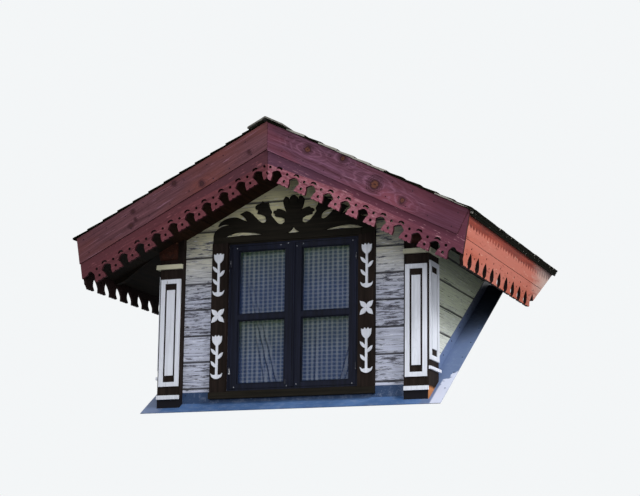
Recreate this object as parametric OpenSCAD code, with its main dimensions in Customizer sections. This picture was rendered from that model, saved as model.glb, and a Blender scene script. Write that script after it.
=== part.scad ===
// Gable dormer window in painted timber, with fretwork bargeboards and a carved window crest.
// X runs across the front, Y runs back into the main roof and Z is up.
// The origin is on the raking underside of the front sole, at the middle of the front.

/* [Main roof] */
// Pitch of the roof that the dormer stands on, in degrees
main_pitch = 33.5; // [28:0.5:42]
// Thickness of the main roof's covering, square to the slope
covering_t = 45; // [25:1:70]
// Gap between the dormer's trim and the main roof's face
roof_gap = 12; // [6:1:20]

/* [Sole timbers] */
// Depth of the sole timbers, square to the slope
sole_depth = 70; // [60:1:110]
// Thickness of the framed walls on top of the soles
frame_t = 95; // [80:1:110]

/* [Body] */
// Width between the outer faces of the cheek boards
body_w = 1910; // [1800:10:2060]
// Thickness of the wall boards
board_t = 25; // [18:1:32]
// Height of one wall board
board_h = 186; // [140:2:220]
// Height of the first board joint above the origin
first_joint_z = 114; // [90:2:140]
// How much higher the joints are on the left of the window
left_joint_rise = 50; // [0:2:70]
// Width of the groove at each board joint
joint_w = 4; // [2:1:8]
// Depth of the groove at each board joint
joint_depth = 6; // [3:1:10]
// Distance from the window's head down to the underside of the wall plates
plate_drop = 96; // [88:2:104]
// Width of a wall plate
plate_w = 135; // [124:1:150]
// How far a wall plate stands out past the front boards
plate_nose = 75; // [60:1:100]
// Radius of the rounded lower edge of a plate's nose
nose_r = 40; // [20:1:44]

/* [Dormer roof] */
// Pitch of the dormer roof in degrees
pitch = 26.65; // [24:0.05:29]
// Height of the bargeboards' top corner at the ridge over the window's head
ridge_rise = 715; // [705:1:750]
// Half of the width over the bargeboards' top corners
verge_x = 1427; // [1380:1:1470]
// How far the front face of the bargeboards stands before the wall boards
verge_out = 518; // [440:2:600]
// How far the bargeboard's top edge stands above the deck's underside, square to the slope
barge_rise = 54; // [45:1:60]
// Thickness of the roof deck
deck_t = 25; // [18:1:30]
// Depth of the rafters, square to the slope
rafter_depth = 150; // [120:2:170]
// Thickness of a rafter
rafter_w = 70; // [50:2:90]
// Distance between rafters
rafter_step = 620; // [500:10:700]
// Thickness of the boards under the overhang
soffit_t = 20; // [15:1:25]
// Width of the boards under the overhang
soffit_board = 140; // [100:5:180]
// Thickness of the ridge beam
ridge_w = 50; // [40:2:70]

/* [Shingles] */
// Thickness of the lapped shingles over the deck
shingle_build = 49; // [44:1:60]
// Thickness of the shingles at the eave
eave_build = 43; // [34:1:46]
// Visible length of a shingle course
exposure = 130; // [110:1:160]
// Step down from one course to the next
course_step = 14; // [8:1:18]
// How far the shingles stand out past the upper fascia
eave_lap = 38; // [24:1:50]
// How far the shingles stand out past the bargeboards
verge_lap = 25; // [10:1:35]
// Width of each side of the ridge boards
ridge_cap_w = 130; // [110:5:170]
// Thickness of the ridge boards
ridge_cap_t = 10; // [8:1:18]

/* [Bargeboards and fascias] */
// Width of the upper bargeboard
barge_w = 176; // [160:1:190]
// Thickness of the upper bargeboard, which is planted on the fretwork board
barge_t = 13; // [10:1:24]
// Thickness of the gable's fretwork boards
fret_t = 22; // [18:1:26]
// Gap of the mitre joint at the ridge
mitre_gap = 2; // [1:0.5:4]
// Distance of the mitre joint to the right of the middle
mitre_shift = 9; // [0:1:12]
// Half of the width over the lower edges of the leaning eave boards
fret_x = 1370; // [1345:1:1380]
// How far the eave boards lean outwards, in degrees
eave_lean = 9.6; // [6:0.2:12]
// Thickness of the fascia and the eave fretwork
fascia_t = 24; // [20:1:30]
// Width of the groove at the joint between fascia and eave fretwork
joint_groove = 3; // [2:0.5:6]

/* [Gable fretwork] */
// Length from the joint line to the pendants' tips
pendant_drop = 177; // [165:1:190]
// Distance from the ridge to the first pendant along the slope
pendant_first = 72; // [66:1:78]
// Distance from the ridge to the last pendant along the slope
pendant_last = 1467; // [1440:1:1480]
// Number of pendants on each slope
pendant_count = 11; // [10:1:12]
// Depth below the joint line of the top of each opening
arch_top = 94; // [88:1:104]
// Half width of an opening at its widest
arch_half = 41; // [34:1:43]
// Half width of an opening at the pendants' tips
mouth_half = 26; // [20:1:30]
// Depth below the joint line of the upper hole in a pendant
upper_hole_t = 94; // [84:1:97]
// Radius of the upper hole
upper_hole_r = 9.5; // [5:0.5:10]
// Depth below the joint line of the lower hole in a pendant
lower_hole_t = 145; // [135:1:150]
// Radius of the lower hole
lower_hole_r = 10; // [5:0.5:11]
// Depth below the joint line of the leaf over each opening
bean_t = 77; // [72:1:79]
// Length of the leaf
bean_len = 46; // [34:1:50]
// Height of the leaf
bean_h = 22; // [14:1:24]
// Radius of the notches in a pendant's lower edge
bite_r = 6; // [4:0.5:7]
// Distance from a pendant's middle to its notches
bite_shift = 19; // [15:0.5:23]

/* [Eave fretwork] */
// Distance from the wall plates' underside down to the eave fretwork's lower edge
eave_edge_drop = 258; // [250:1:270]
// Height of the eave fretwork
eave_fret_h = 172; // [160:1:184]
// Distance between the openings along the eave
drop_step = 170; // [160:1:184]
// Distance from the front end to the first opening
drop_first = 145; // [130:1:160]
// Height of an opening, from its mouth up to its point
drop_h = 108; // [96:1:112]
// Half width of an opening at its widest
drop_half = 36; // [26:1:40]
// Half width of an opening's mouth
drop_mouth = 16; // [10:1:20]
// Height above the edge of the hole over each opening
drop_hole_u = 130; // [124:1:138]
// Radius of the hole over each opening
drop_hole_r = 7; // [4:0.5:9]
// Height above the edge of the hole between two openings
between_hole_u = 80; // [66:1:90]
// Radius of the hole between two openings
between_hole_r = 7; // [4:0.5:8]

/* [Window] */
// Width of the window over its frame
window_w = 980; // [920:5:1020]
// Height of the window over its frame
window_h = 1050; // [1000:5:1054]
// Height of the window frame's foot above the origin
window_z = 88; // [84:1:96]
// Depth of the window frame
frame_depth = 100; // [80:2:110]
// Width of the window frame's face
frame_face = 18; // [14:1:24]
// Clearance between sash and frame
sash_gap = 3; // [2:0.5:4]
// Thickness of a sash
sash_t = 42; // [36:1:48]
// Width of the sash stiles
stile_w = 52; // [44:1:60]
// Width of the sash top rail
top_rail = 32; // [26:1:44]
// Width of the sash bottom rail
bottom_rail = 33; // [28:1:50]
// Height of the glazing bar
bar_h = 38; // [28:1:44]
// Height of the middle of the glazing bar above the window's foot
bar_up = 523; // [470:1:570]
// Width of the strip that covers the meeting stiles
cover_w = 27; // [20:1:34]
// Thickness of the cover strip
cover_t = 12; // [8:1:16]
// Thickness of the glass
glass_t = 4; // [3:1:6]
// How far the glass sits behind the sash's face
glass_back = 18; // [14:1:24]
// Radius of a hinge's knuckle
hinge_r = 7; // [5:0.5:8]
// Height of a hinge
hinge_h = 44; // [34:2:60]
// Distance from the window's foot and head to the hinges
hinge_low = 124; // [90:2:160]

/* [Curtains] */
// Diameter of the curtain rod
rod_d = 12; // [8:1:16]
// Distance from the window's head down to the curtain rod
rod_drop = 36; // [33:1:50]
// Distance from the wall boards' face back to the rod
rod_back = 80; // [76:1:88]
// Thickness of the folded curtain
curtain_t = 3; // [2:0.5:5]
// Height of the waves of the curtain's folds
fold_half = 6; // [3:0.5:8]
// Number of folds in each curtain
folds = 9; // [5:1:12]

/* [Casing] */
// Width of a casing board
casing_w = 120; // [110:1:130]
// Thickness of a casing board
casing_t = 30; // [24:1:36]
// Height of the sill
sill_h = 44; // [36:1:48]
// How far the sill stands out before the wall boards
sill_out = 48; // [40:1:60]
// Height of the rail over the window
head_rail_h = 40; // [34:1:44]
// Thickness of the rail on the crest board
head_rail_t = 8; // [5:1:12]
// Thickness of the crest board
crest_t = 20; // [16:1:30]
// Thickness of the white ornaments
ornament_t = 8; // [6:1:12]
// Height of the crest board over its foot
crest_h = 316; // [290:2:330]
// Height of the middle of the four petal flower above the window's foot
flower_up = 536; // [510:1:560]
// Distance from the window's head down to the upper tulip's foot
upper_tulip_drop = 376; // [350:1:388]
// Height of the lower tulip's foot above the window's foot
lower_tulip_up = 90; // [80:1:110]
// Distance from the casing's middle out to the ornaments' stems
ornament_shift = 5; // [0:1:10]

/* [Corner pilasters] */
// Width of the front corner board
corner_w = 176; // [160:1:190]
// Width of the side corner board
side_corner_w = 215; // [190:1:230]
// Thickness of the corner boards
corner_t = 48; // [40:1:55]
// Width of the white frame's bars
bead_w = 31; // [24:1:34]
// Thickness of the white frame
bead_t = 10; // [8:1:20]
// Margin between the white frame and the board's edges
bead_margin = 11; // [6:1:16]
// Thickness of the raised panel
panel_t = 8; // [6:1:16]
// Gap between the white frame and the raised panel at its sides
panel_gap = 15; // [8:1:20]
// Gap between the white frame and the raised panel at its ends
panel_end_gap = 46; // [34:1:60]
// Height of the white frame's foot above the origin
bead_z = 137; // [125:1:150]
// Distance from the cap's underside down to the white frame
bead_below = 73; // [60:1:84]
// Distance from the wall plates' underside down to the cap's underside
cap_below = 68; // [60:1:76]
// Height of the cap
cap_h = 32; // [26:1:40]
// How far the cap stands out before the corner boards
cap_out = 23; // [16:1:30]
// Height of the foot strip's underside above the origin
strip_z = 46; // [38:1:56]
// Height of the foot strip
strip_h = 28; // [22:1:34]
// How far the foot strip stands out before the corner boards
strip_out = 16; // [12:1:24]
// Height of the side frame's foot over the main roof at its rear end
side_frame_up = 128; // [110:2:150]
// Height of the side strip's foot over the main roof at its rear end
side_strip_up = 62; // [50:2:80]

/* [Flashing] */
// Thickness of the sheet metal
sheet_t = 3; // [2:0.5:4]
// Height of the upstand of the side flashings, square to the slope
upstand = 77; // [60:1:90]
// Width of the side flashings on the main roof
side_flange = 147; // [120:1:170]
// Height of the apron's upstand on the front boards
apron_up = 80; // [60:1:86]
// How far the apron reaches down the main roof before the wall boards
apron_out = 105; // [95:1:125]

/* [Hidden] */

// Every solid of one material stands this far from a neighbour that it must not merge with
seat = 0.3;
// Longer than any piece, for cutting bodies
far = 6000;
// Angles and slopes
slope = tan(pitch);
rake = tan(main_pitch);
// Vertical measure of a thickness that is given square to a slope
function on_pitch(t) = t / cos(pitch);
function on_main(t) = t / cos(main_pitch);
// Height of the main roof's face and of the plane of the soles at a depth y
function sole_plane(y) = y * rake;
function roof_face(y) = y * rake + on_main(covering_t);
// Depth at which a height meets the main roof's face
function face_y(z) = (z - on_main(covering_t)) / rake;

// Walls
front_y = -(board_t + frame_t) / 2;
frame_y = front_y + board_t;
inner_y = frame_y + frame_t;
board_x = body_w / 2;
frame_x = board_x - board_t;
inner_x = frame_x - frame_t;
// Heights that follow the window
window_half = window_w / 2;
window_top = window_z + window_h;
plate_z = window_top - plate_drop;
ridge_z = window_top + ridge_rise;
cap_z = plate_z - cap_below;
bead_h = cap_z - bead_below - bead_z;
eave_edge_z = plate_z - eave_edge_drop;
// Roof planes, as heights over the middle of the dormer
barge_top = ridge_z;
deck_under = barge_top - on_pitch(barge_rise);
deck_top = deck_under + on_pitch(deck_t);
rafter_under = deck_under - on_pitch(rafter_depth);
soffit_under = rafter_under - on_pitch(soffit_t);
joint_line = barge_top - on_pitch(barge_w);
function at_slope(top, x) = top - abs(x) * slope;
// Verge and eaves
barge_y = front_y - verge_out;
gable_fret_y = barge_y + barge_t;
verge_back_y = gable_fret_y + fret_t;
// Distance from the middle at which a roof plane meets the leaning plane that lies d inside
// the eave boards' outer faces
lean = tan(eave_lean);
function lean_x(top, d) = (fret_x + (top - eave_edge_z) * lean - d / cos(eave_lean))
    / (1 + slope * lean);
function lean_at(z, d) = fret_x + (z - eave_edge_z) * lean - d / cos(eave_lean);
// The point d inside a leaning outer face, square to the point of the face at a height z
function tilted(z, d) = [lean_at(z + d * sin(eave_lean), d), z + d * sin(eave_lean)];
eave_inside = fascia_t + seat;
eave_x = lean_x(deck_top, 0) + eave_lap;
// Window
sash_half = window_half - frame_face - sash_gap;
sash_foot = window_z + frame_face + sash_gap;
sash_top = window_top - frame_face - sash_gap;
sash_y = front_y;
glass_inner = cover_w / 2 + stile_w - 4;
glass_outer = sash_half - stile_w;
glass_foot = sash_foot + bottom_rail;
glass_top = sash_top - top_rail;
bar_z = window_z + bar_up;
casing_y = front_y - casing_t;
casing_outer = window_half + casing_w;
crest_foot = window_top + 4;
ornament_x = window_half + casing_w / 2 + ornament_shift;
// Corners
corner_out = board_x + corner_t;
corner_in = corner_out - corner_w;
corner_y = front_y - corner_t;
side_corner_end = corner_y + side_corner_w;
plate_outer = board_x + 50;
plate_inner = plate_outer - plate_w;

// Colours
burgundy = [0.37, 0.19, 0.25];
fret_red = [0.66, 0.30, 0.35];
eave_red = [0.78, 0.37, 0.29];
dark_brown = [0.17, 0.12, 0.10];
raw_wood = [0.55, 0.42, 0.30];
navy = [0.09, 0.10, 0.18];
white_paint = [0.82, 0.83, 0.84];
wall_paint = [0.68, 0.69, 0.68];
cheek_paint = [0.70, 0.71, 0.66];
shingle_grey = [0.60, 0.60, 0.58];
sheet_blue = [0.27, 0.43, 0.65];
curtain_blue = [0.62, 0.66, 0.74];
clear_glass = [0.75, 0.82, 0.85, 0.35];

// A flat board in the XZ plane, from its front face at y back by thickness t
module facing(y, t) {
    translate([0, y + t, 0]) rotate([90, 0, 0]) linear_extrude(t) children();
}

// A flat board in the YZ plane, from x outwards by thickness t
module sideways(x, t) {
    translate([x, 0, 0]) rotate([90, 0, 90]) linear_extrude(t) children();
}

module mirrored_x() {
    mirror([1, 0, 0]) children();
}

// The space above the main roof's face, lifted by gap
module above_roof(gap) {
    lift = on_main(covering_t) + gap;
    sideways(-far / 2, far)
        polygon([[-far, -far * rake + lift], [far, far * rake + lift], [far, 2 * far * rake],
            [-far, 2 * far * rake]]);
}

// Outline under a roof plane between two distances from the middle
module under_plane(top, x0, x1, foot) {
    polygon([[x0, foot], [x1, foot], [x1, at_slope(top, x1)], [x0, at_slope(top, x0)]]);
}

// A layer of the right slope between two planes and two distances from the middle
module slope_layer(under, top, x0, x1) {
    polygon([[x0, at_slope(under, x0)], [x1, at_slope(under, x1)], [x1, at_slope(top, x1)],
        [x0, at_slope(top, x0)]]);
}

// A layer of the right slope that ends on the leaning plane d inside the eave boards' faces
module eave_layer(under, top, x0, d) {
    x1 = lean_x(under, d);
    x2 = lean_x(top, d);
    outline([[x0, at_slope(under, x0)], [x1, at_slope(under, x1)], [x2, at_slope(top, x2)],
        [x0, at_slope(top, x0)]]);
}

// Points of a curve that passes through all of the given points
function through(p, n = 5) = [
    for (i = [0 : len(p) - 2], k = [0 : n - 1])
        let (a = p[max(i - 1, 0)], b = p[i], c = p[i + 1], d = p[min(i + 2, len(p) - 1)],
            t = k / n)
        0.5 * (2 * b + (c - a) * t + (2 * a - 5 * b + 4 * c - d) * t * t
            + (3 * b - a - 3 * c + d) * t * t * t)
];

function twice_area(p, i = 0, sum = 0) = i == len(p) ? sum
    : twice_area(p, i + 1, sum + cross(p[i], p[(i + 1) % len(p)]));
function backwards(p) = [for (i = [len(p) - 1 : -1 : 0]) p[i]];

// A closed outline whose points may run either way round
module outline(p) {
    polygon(twice_area(p) > 0 ? p : backwards(p));
}

// Sole timbers

sole_end_y = (plate_z - on_main(sole_depth)) / rake;

module side_sole_right() {
    sideways(inner_x - 1, frame_t + 1)
        polygon([[frame_y, sole_plane(frame_y)], [sole_end_y, sole_plane(sole_end_y)],
            [sole_end_y, plate_z], [frame_y, sole_plane(frame_y) + on_main(sole_depth)]]);
}

module sole_timbers() {
    color(raw_wood) difference() {
        union() {
            sideways(-inner_x, 2 * inner_x)
                polygon([[frame_y, sole_plane(frame_y)], [inner_y, sole_plane(inner_y)],
                    [inner_y, sole_plane(inner_y) + on_main(sole_depth)],
                    [frame_y, sole_plane(frame_y) + on_main(sole_depth)]]);
            side_sole_right();
            mirrored_x() side_sole_right();
        }
        facing(-far / 2, far) window_hole();
    }
}

// Walls

module window_hole() {
    translate([-window_half, window_z]) square([window_w, window_h]);
}

module front_wall() {
    color(raw_wood) difference() {
        facing(frame_y, frame_t) difference() {
            polygon([[-inner_x, -200], [inner_x, -200],
                [inner_x, at_slope(rafter_under, inner_x)], [0, rafter_under],
                [-inner_x, at_slope(rafter_under, inner_x)]]);
            window_hole();
        }
        sideways(-far / 2, far)
            polygon([[-far, -far * rake + on_main(sole_depth)],
                [far, far * rake + on_main(sole_depth)], [far, -far * rake - far],
                [-far, -far * rake - far]]);
    }
}

// Outline of the boarded front, up to the rafters and beside the wall plates
module front_outline() {
    foot = roof_face(front_y) + roof_gap;
    side = plate_inner - seat;
    outline([[-board_x, foot], [board_x, foot], [board_x, plate_z - seat],
        [side, plate_z - seat], [side, at_slope(rafter_under, side) - seat],
        [0, rafter_under - seat], [-side, at_slope(rafter_under, side) - seat],
        [-side, plate_z - seat], [-board_x, plate_z - seat]]);
}

module front_boards() {
    color(wall_paint) difference() {
        facing(front_y, board_t) difference() {
            front_outline();
            window_hole();
        }
        // Joints between the boards
        for (i = [0 : floor((ridge_z - first_joint_z) / board_h)]) {
            z = first_joint_z + i * board_h;
            right_from = z > window_top ? -far / 2 : window_half;
            translate([right_from, front_y - 1, z]) cube([far, joint_depth + 1, joint_w]);
            if (z < window_top)
                translate([-window_half - far, front_y - 1, z + left_joint_rise])
                    cube([far, joint_depth + 1, joint_w]);
        }
    }
}

// Outline of a cheek in the YZ plane, from the front at y0, between a plane lifted by gap and
// a level top
module cheek_outline(y0, gap, top = plate_z) {
    y_end = (top - gap) / rake;
    polygon([[y0, sole_plane(y0) + gap], [y_end, top], [y0, top]]);
}

// The boards reach up to the eave's soffit
cheek_top = at_slope(soffit_under, board_x) - seat;

module cheek_wall_right() {
    color(raw_wood)
        sideways(inner_x, frame_t) cheek_outline(frame_y, on_main(sole_depth));
}

module cheek_boards_right() {
    color(cheek_paint) difference() {
        sideways(frame_x, board_t)
            cheek_outline(frame_y, on_main(covering_t) + roof_gap, cheek_top);
        for (i = [1 : floor((cheek_top - first_joint_z) / board_h)])
            translate([board_x - joint_depth, -far / 2, first_joint_z + i * board_h])
                cube([joint_depth + 1, far, joint_w]);
    }
}

// The wall plates run along the cheeks, and their rounded noses stand out before the front
module wall_plate_right() {
    y0 = front_y - plate_nose;
    y_end = face_y(plate_z) - 40;
    color(dark_brown) difference() {
        facing(y0, y_end - y0)
            under_plane(rafter_under - seat, plate_inner, plate_outer, plate_z);
        // The nose passes under the boards of the overhang
        facing(y0 - 1, plate_nose + 1)
            slope_layer(soffit_under - seat, rafter_under + 1, plate_inner - 1, plate_outer + 1);
        // Behind the front it lies inside the cheek's boards
        translate([frame_x - seat, front_y, 0]) cube([far, far, far]);
        // Rounded lower edge of the nose
        translate([plate_inner - 1, y0, plate_z]) difference() {
            translate([0, -1, -1]) cube([plate_w + 2, nose_r + 1, nose_r + 1]);
            translate([0, nose_r, nose_r]) rotate([0, 90, 0])
                cylinder(r = nose_r, h = plate_w + 2, $fn = 48);
        }
    }
}

// Roof

rafter_y0 = verge_back_y + seat;
rafter_count = floor((face_y(rafter_under) - rafter_y0) / rafter_step);

module rafter_pair(y) {
    translate([0, y, 0]) facing(0, rafter_w) {
        eave_layer(rafter_under, deck_under, ridge_w / 2, eave_inside);
        mirror([1, 0]) eave_layer(rafter_under, deck_under, ridge_w / 2, eave_inside);
    }
}

module rafters() {
    color(raw_wood) intersection() {
        for (i = [0 : rafter_count]) rafter_pair(rafter_y0 + i * rafter_step);
        above_roof(0);
    }
}

module ridge_beam() {
    half = ridge_w / 2;
    color(raw_wood) intersection() {
        facing(verge_back_y + seat, far)
            polygon([[-half, rafter_under + seat], [half, rafter_under + seat],
                [half, at_slope(deck_under, half)], [0, deck_under],
                [-half, at_slope(deck_under, half)]]);
        above_roof(0);
    }
}

module roof_deck_right() {
    color(raw_wood) intersection() {
        facing(verge_back_y + seat, far) eave_layer(deck_under, deck_top, 0, eave_inside);
        above_roof(0);
    }
}

// The soffit boards lie under the rafters, outside the walls
module soffit_right() {
    gap = 3;
    run = fret_x / cos(pitch);
    stop_y = corner_y - seat;
    color(dark_brown) {
        // Front overhang
        difference() {
            facing(verge_back_y + seat, front_y - verge_back_y - seat)
                eave_layer(soffit_under, rafter_under, 0, eave_inside);
            for (s = [soffit_board : soffit_board : run])
                translate([0, 0, soffit_under]) rotate([0, pitch, 0])
                    translate([s, -far / 2, -1]) cube([gap, far, 5]);
            facing(stop_y, corner_t + 1) translate([plate_outer - 1, 0]) square([far, far]);
        }
        // Shaped board that closes the eave before the cheek
        facing(corner_y, corner_t - seat) eave_stop();
        // Eave overhang
        intersection() {
            facing(front_y + seat, far)
                eave_layer(soffit_under, rafter_under, board_x + seat, eave_inside);
            above_roof(roof_gap);
        }
    }
}

// Outline of the shaped board, with a curved lower edge between plate and eave
module eave_stop() {
    x0 = plate_outer + seat;
    x1 = lean_x(soffit_under, eave_inside);
    run = x1 - x0;
    xt = lean_x(rafter_under, eave_inside);
    low = [[0, 0], [0.16, 2], [0.36, 9], [0.58, 23], [0.78, 39], [0.92, 32], [1, 22]];
    edge = through([for (q = low)
        [x0 + q[0] * run, at_slope(soffit_under, x0 + q[0] * run) - q[1]]]);
    outline(concat(edge, [[xt, at_slope(rafter_under, xt)], [x0, at_slope(rafter_under, x0)]]));
}

// Stepped outline of the shingle courses on the right slope, over a plane
module shingle_profile(under) {
    courses = floor(eave_x / cos(pitch) / exposure);
    top_of = function (i) deck_top + on_pitch(min(shingle_build, eave_build + 9 * i));
    steps = [
        for (i = [0 : courses])
            let (x0 = max(eave_x - i * exposure * cos(pitch), 0),
                x1 = max(eave_x - (i + 1) * exposure * cos(pitch), 0))
            each [[x0, at_slope(top_of(i), x0)],
                [x1, at_slope(top_of(i) - on_pitch(course_step), x1)]]
    ];
    outline(concat([[0, under]], [[eave_x, at_slope(under, eave_x)]], steps));
}

module shingles_right() {
    color(shingle_grey) intersection() {
        difference() {
            facing(barge_y - verge_lap, far) shingle_profile(deck_top);
            // Room for the bargeboard under the verge
            facing(barge_y - verge_lap - 1, verge_back_y + seat - barge_y + verge_lap + 1)
                slope_layer(deck_under, barge_top + seat, 0, eave_x + 1);
        }
        above_roof(0);
    }
}

module ridge_cap() {
    under = deck_top + on_pitch(shingle_build) + seat;
    top = under + on_pitch(ridge_cap_t);
    low = ridge_cap_w * slope;
    color(shingle_grey) intersection() {
        facing(barge_y - verge_lap, far)
            polygon([[-ridge_cap_w, under - low], [0, under], [ridge_cap_w, under - low],
                [ridge_cap_w, top - low], [0, top], [-ridge_cap_w, top - low]]);
        above_roof(0);
    }
}

// Bargeboards and fascias

// The right slope's own axes, from the joint line at the ridge: s runs down the slope and
// t runs square to it, downwards
module along_slope() {
    translate([0, joint_line]) rotate(-pitch) mirror([0, 1]) children();
}

// The right board has a square lower end, and the left one is cut along the leaning eave
module bargeboard(side) {
    square_end = verge_x / cos(pitch) - barge_w * tan(pitch);
    s_end = side > 0 ? square_end : far / 2;
    color(burgundy) facing(barge_y, barge_t) intersection() {
        along_slope() translate([-200, -barge_w]) square([200 + s_end, barge_w]);
        verge_limit(side);
    }
}

// One opening between two pendants: an arch with sharp shoulders that narrows to the tips
module fret_opening(k) {
    side = concat(
        through([[0, arch_top], [k * 13, arch_top + 3], [k * 26, arch_top + 12],
            [arch_half, arch_top + 26]], 4),
        [[arch_half, arch_top + 26], [k * 30, arch_top + 50], [mouth_half, pendant_drop - 6],
            [mouth_half, pendant_drop + 6]]);
    outline(concat(side, [for (i = [len(side) - 1 : -1 : 1]) [-side[i][0], side[i][1]]]));
}

// A small leaf with a curved back, pierced over each opening
module bean() {
    a = bean_len / 2;
    h = bean_h / 2;
    outline(through([[-a, h], [-a * 0.7, -h * 0.5], [0, -h], [a * 0.7, -h * 0.7], [a, h * 0.5],
        [a * 0.4, h * 0.5], [0, h * 0.2], [-a * 0.5, h * 0.6], [-a, h]], 3));
}

module gable_fret(side) {
    first = pendant_first + side * mitre_shift;
    step = (pendant_last - first) / (pendant_count - 1);
    k = step / 140;
    color(fret_red) facing(gable_fret_y, fret_t) difference() {
        intersection() {
            along_slope() translate([-200, -barge_w]) square([far / 2, barge_w + pendant_drop]);
            verge_limit(side);
        }
        along_slope() {
            for (i = [0 : pendant_count - 1]) {
                s = first + i * step;
                translate([s, upper_hole_t]) circle(upper_hole_r, $fn = 20);
                translate([s, lower_hole_t]) circle(lower_hole_r, $fn = 20);
                for (q = [-1, 1])
                    translate([s + q * bite_shift, pendant_drop + 1]) circle(bite_r, $fn = 16);
            }
            for (i = [0 : pendant_count - 2]) {
                s = first + (i + 0.5) * step;
                translate([s, bean_t]) bean();
                translate([s, 0]) fret_opening(k);
            }
            translate([first + (pendant_count - 0.5) * step, 0]) corner_cut(k);
        }
    }
}

// Outer limit of the gable boards: the mitre at the ridge and the leaning line of the eave
module verge_limit(side) {
    x0 = side * mitre_shift + mitre_gap / 2;
    polygon([[x0, 0], [lean_at(0, 0), 0], [lean_at(far / 2, 0), far / 2], [x0, far / 2]]);
}

// The plain corner beyond the last pendant rises to a small peak and ends in a hollow edge
module corner_cut(k) {
    edge = through([for (q = [[-26, 178], [-29, 156], [-38, 128], [-36, 112], [-26, 92],
        [-14, 84], [2, 90], [14, 98], [30, 100], [44, 101], [60, 102], [120, 106]])
        [k * q[0], q[1]]], 3);
    outline(concat(edge, [[k * 120, 106], [k * 120, pendant_drop + 80],
        [-k * 26, pendant_drop + 80]]));
}

// The upper fascia follows the deck's edge, and its rear end follows the main roof
module fascia_right() {
    foot = eave_edge_z + eave_fret_h * cos(eave_lean) + seat;
    top = deck_top - seat;
    x0 = lean_x(top, fascia_t);
    x1 = lean_x(top, 0);
    g = joint_groove;
    color(eave_red) intersection() {
        facing(verge_back_y + seat, far)
            outline([tilted(foot, fascia_t), tilted(foot, 8), tilted(foot + g, 8),
                tilted(foot + g, 0), [x1, at_slope(top, x1)], [x0, at_slope(top, x0)]]);
        above_roof(roof_gap);
    }
}

// One opening of the eave fretwork: a drop with a pointed top and a mouth in the lower edge
module drop() {
    side = through([[0, drop_h], [drop_half * 0.35, drop_h * 0.7], [drop_half * 0.8, drop_h * 0.46],
        [drop_half, drop_h * 0.28], [drop_half * 0.8, drop_h * 0.12], [drop_mouth, 0],
        [drop_mouth, -4]], 4);
    outline(concat(side, [for (i = [len(side) - 1 : -1 : 1]) [-side[i][0], side[i][1]]]));
}

// Drawn in its own leaning plane, from its lower edge up
module eave_fret_right() {
    y0 = verge_back_y + seat;
    drops = ceil((face_y(eave_edge_z) - y0 - drop_first) / drop_step);
    color(eave_red) intersection() {
        translate([fret_x, 0, eave_edge_z]) rotate([0, eave_lean, 0])
            sideways(-fascia_t, fascia_t) difference() {
                translate([y0, 0]) square([far, eave_fret_h]);
                // The lower edge runs up to the gable's corner
                outline([[y0 - 1, -1], [y0 + 26, -1], [y0 + 12, 24], [y0 - 1, 34]]);
                for (i = [0 : drops]) {
                    y = y0 + drop_first + i * drop_step;
                    translate([y, 0]) drop();
                    translate([y, drop_hole_u]) circle(drop_hole_r, $fn = 20);
                    translate([y - drop_step / 2, between_hole_u])
                        circle(between_hole_r, $fn = 20);
                    for (k = [-1, 1])
                        translate([y - drop_step / 2 + k * drop_step * 0.11, -1])
                            circle(bite_r, $fn = 16);
                }
            }
        above_roof(roof_gap);
    }
}

// Corner pilasters

module corner_foot_cut() {
    above_roof(sheet_t + seat);
}

module corner_boards_right() {
    color(dark_brown) intersection() {
        union() {
            translate([corner_in, corner_y, -200])
                cube([corner_w, corner_t, plate_z + 200 - seat]);
            // Strip beside the wall plate, up to the soffit
            facing(corner_y, corner_t)
                under_plane(soffit_under - seat, corner_in, plate_inner - seat, plate_z - 10);
            translate([board_x, front_y, -200])
                cube([corner_t, side_corner_end - front_y, plate_z + 200 - seat]);
            // The side board rises behind the plate's nose
            facing(front_y + seat, side_corner_end - front_y - seat)
                under_plane(soffit_under - seat, board_x, corner_out, plate_z - 10);
        }
        corner_foot_cut();
    }
}

// White frame with mitred look around a raised panel
module panel_frame(w, h) {
    difference() {
        square([w, h]);
        translate([bead_w, bead_w]) square([w - 2 * bead_w, h - 2 * bead_w]);
    }
}

module raised_panel(w, h) {
    side = bead_w + panel_gap;
    end = bead_w + panel_end_gap;
    translate([side, end]) square([w - 2 * side, h - 2 * end]);
}

module corner_trim_right() {
    bead_front_w = corner_w - 2 * bead_margin;
    side_y = corner_y + bead_margin;
    side_w = side_corner_w - 2 * bead_margin;
    side_foot = roof_face(side_corner_end) + side_frame_up;
    side_h = bead_z + bead_h + 24 - side_foot;
    color(white_paint) {
        translate([corner_in + bead_margin, 0, bead_z]) facing(corner_y - bead_t, bead_t)
            panel_frame(bead_front_w, bead_h);
        translate([corner_in + bead_margin, 0, bead_z]) facing(corner_y - panel_t, panel_t)
            raised_panel(bead_front_w, bead_h);
        translate([0, side_y, side_foot]) sideways(corner_out, bead_t)
            panel_frame(side_w, side_h);
        translate([0, side_y, side_foot]) sideways(corner_out, panel_t)
            raised_panel(side_w, side_h);
        // Cap round the corner
        translate([corner_in, corner_y - cap_out, cap_z])
            cube([corner_w + cap_out, cap_out, cap_h]);
        translate([corner_out, corner_y, cap_z])
            cube([cap_out, side_corner_w - 12, cap_h]);
        // Foot strips
        translate([corner_in + 4, corner_y - strip_out, strip_z])
            cube([corner_w - 4, strip_out, strip_h]);
        translate([corner_out, corner_y + seat, roof_face(side_corner_end) + side_strip_up])
            cube([strip_out, side_corner_w + 14, strip_h - 8]);
    }
}

// Window

module window_frame() {
    color(navy) facing(front_y, frame_depth) difference() {
        window_hole_less(seat);
        window_hole_less(frame_face);
    }
}

module window_hole_less(d) {
    translate([-window_half + d, window_z + d]) square([window_w - 2 * d, window_h - 2 * d]);
}

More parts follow.
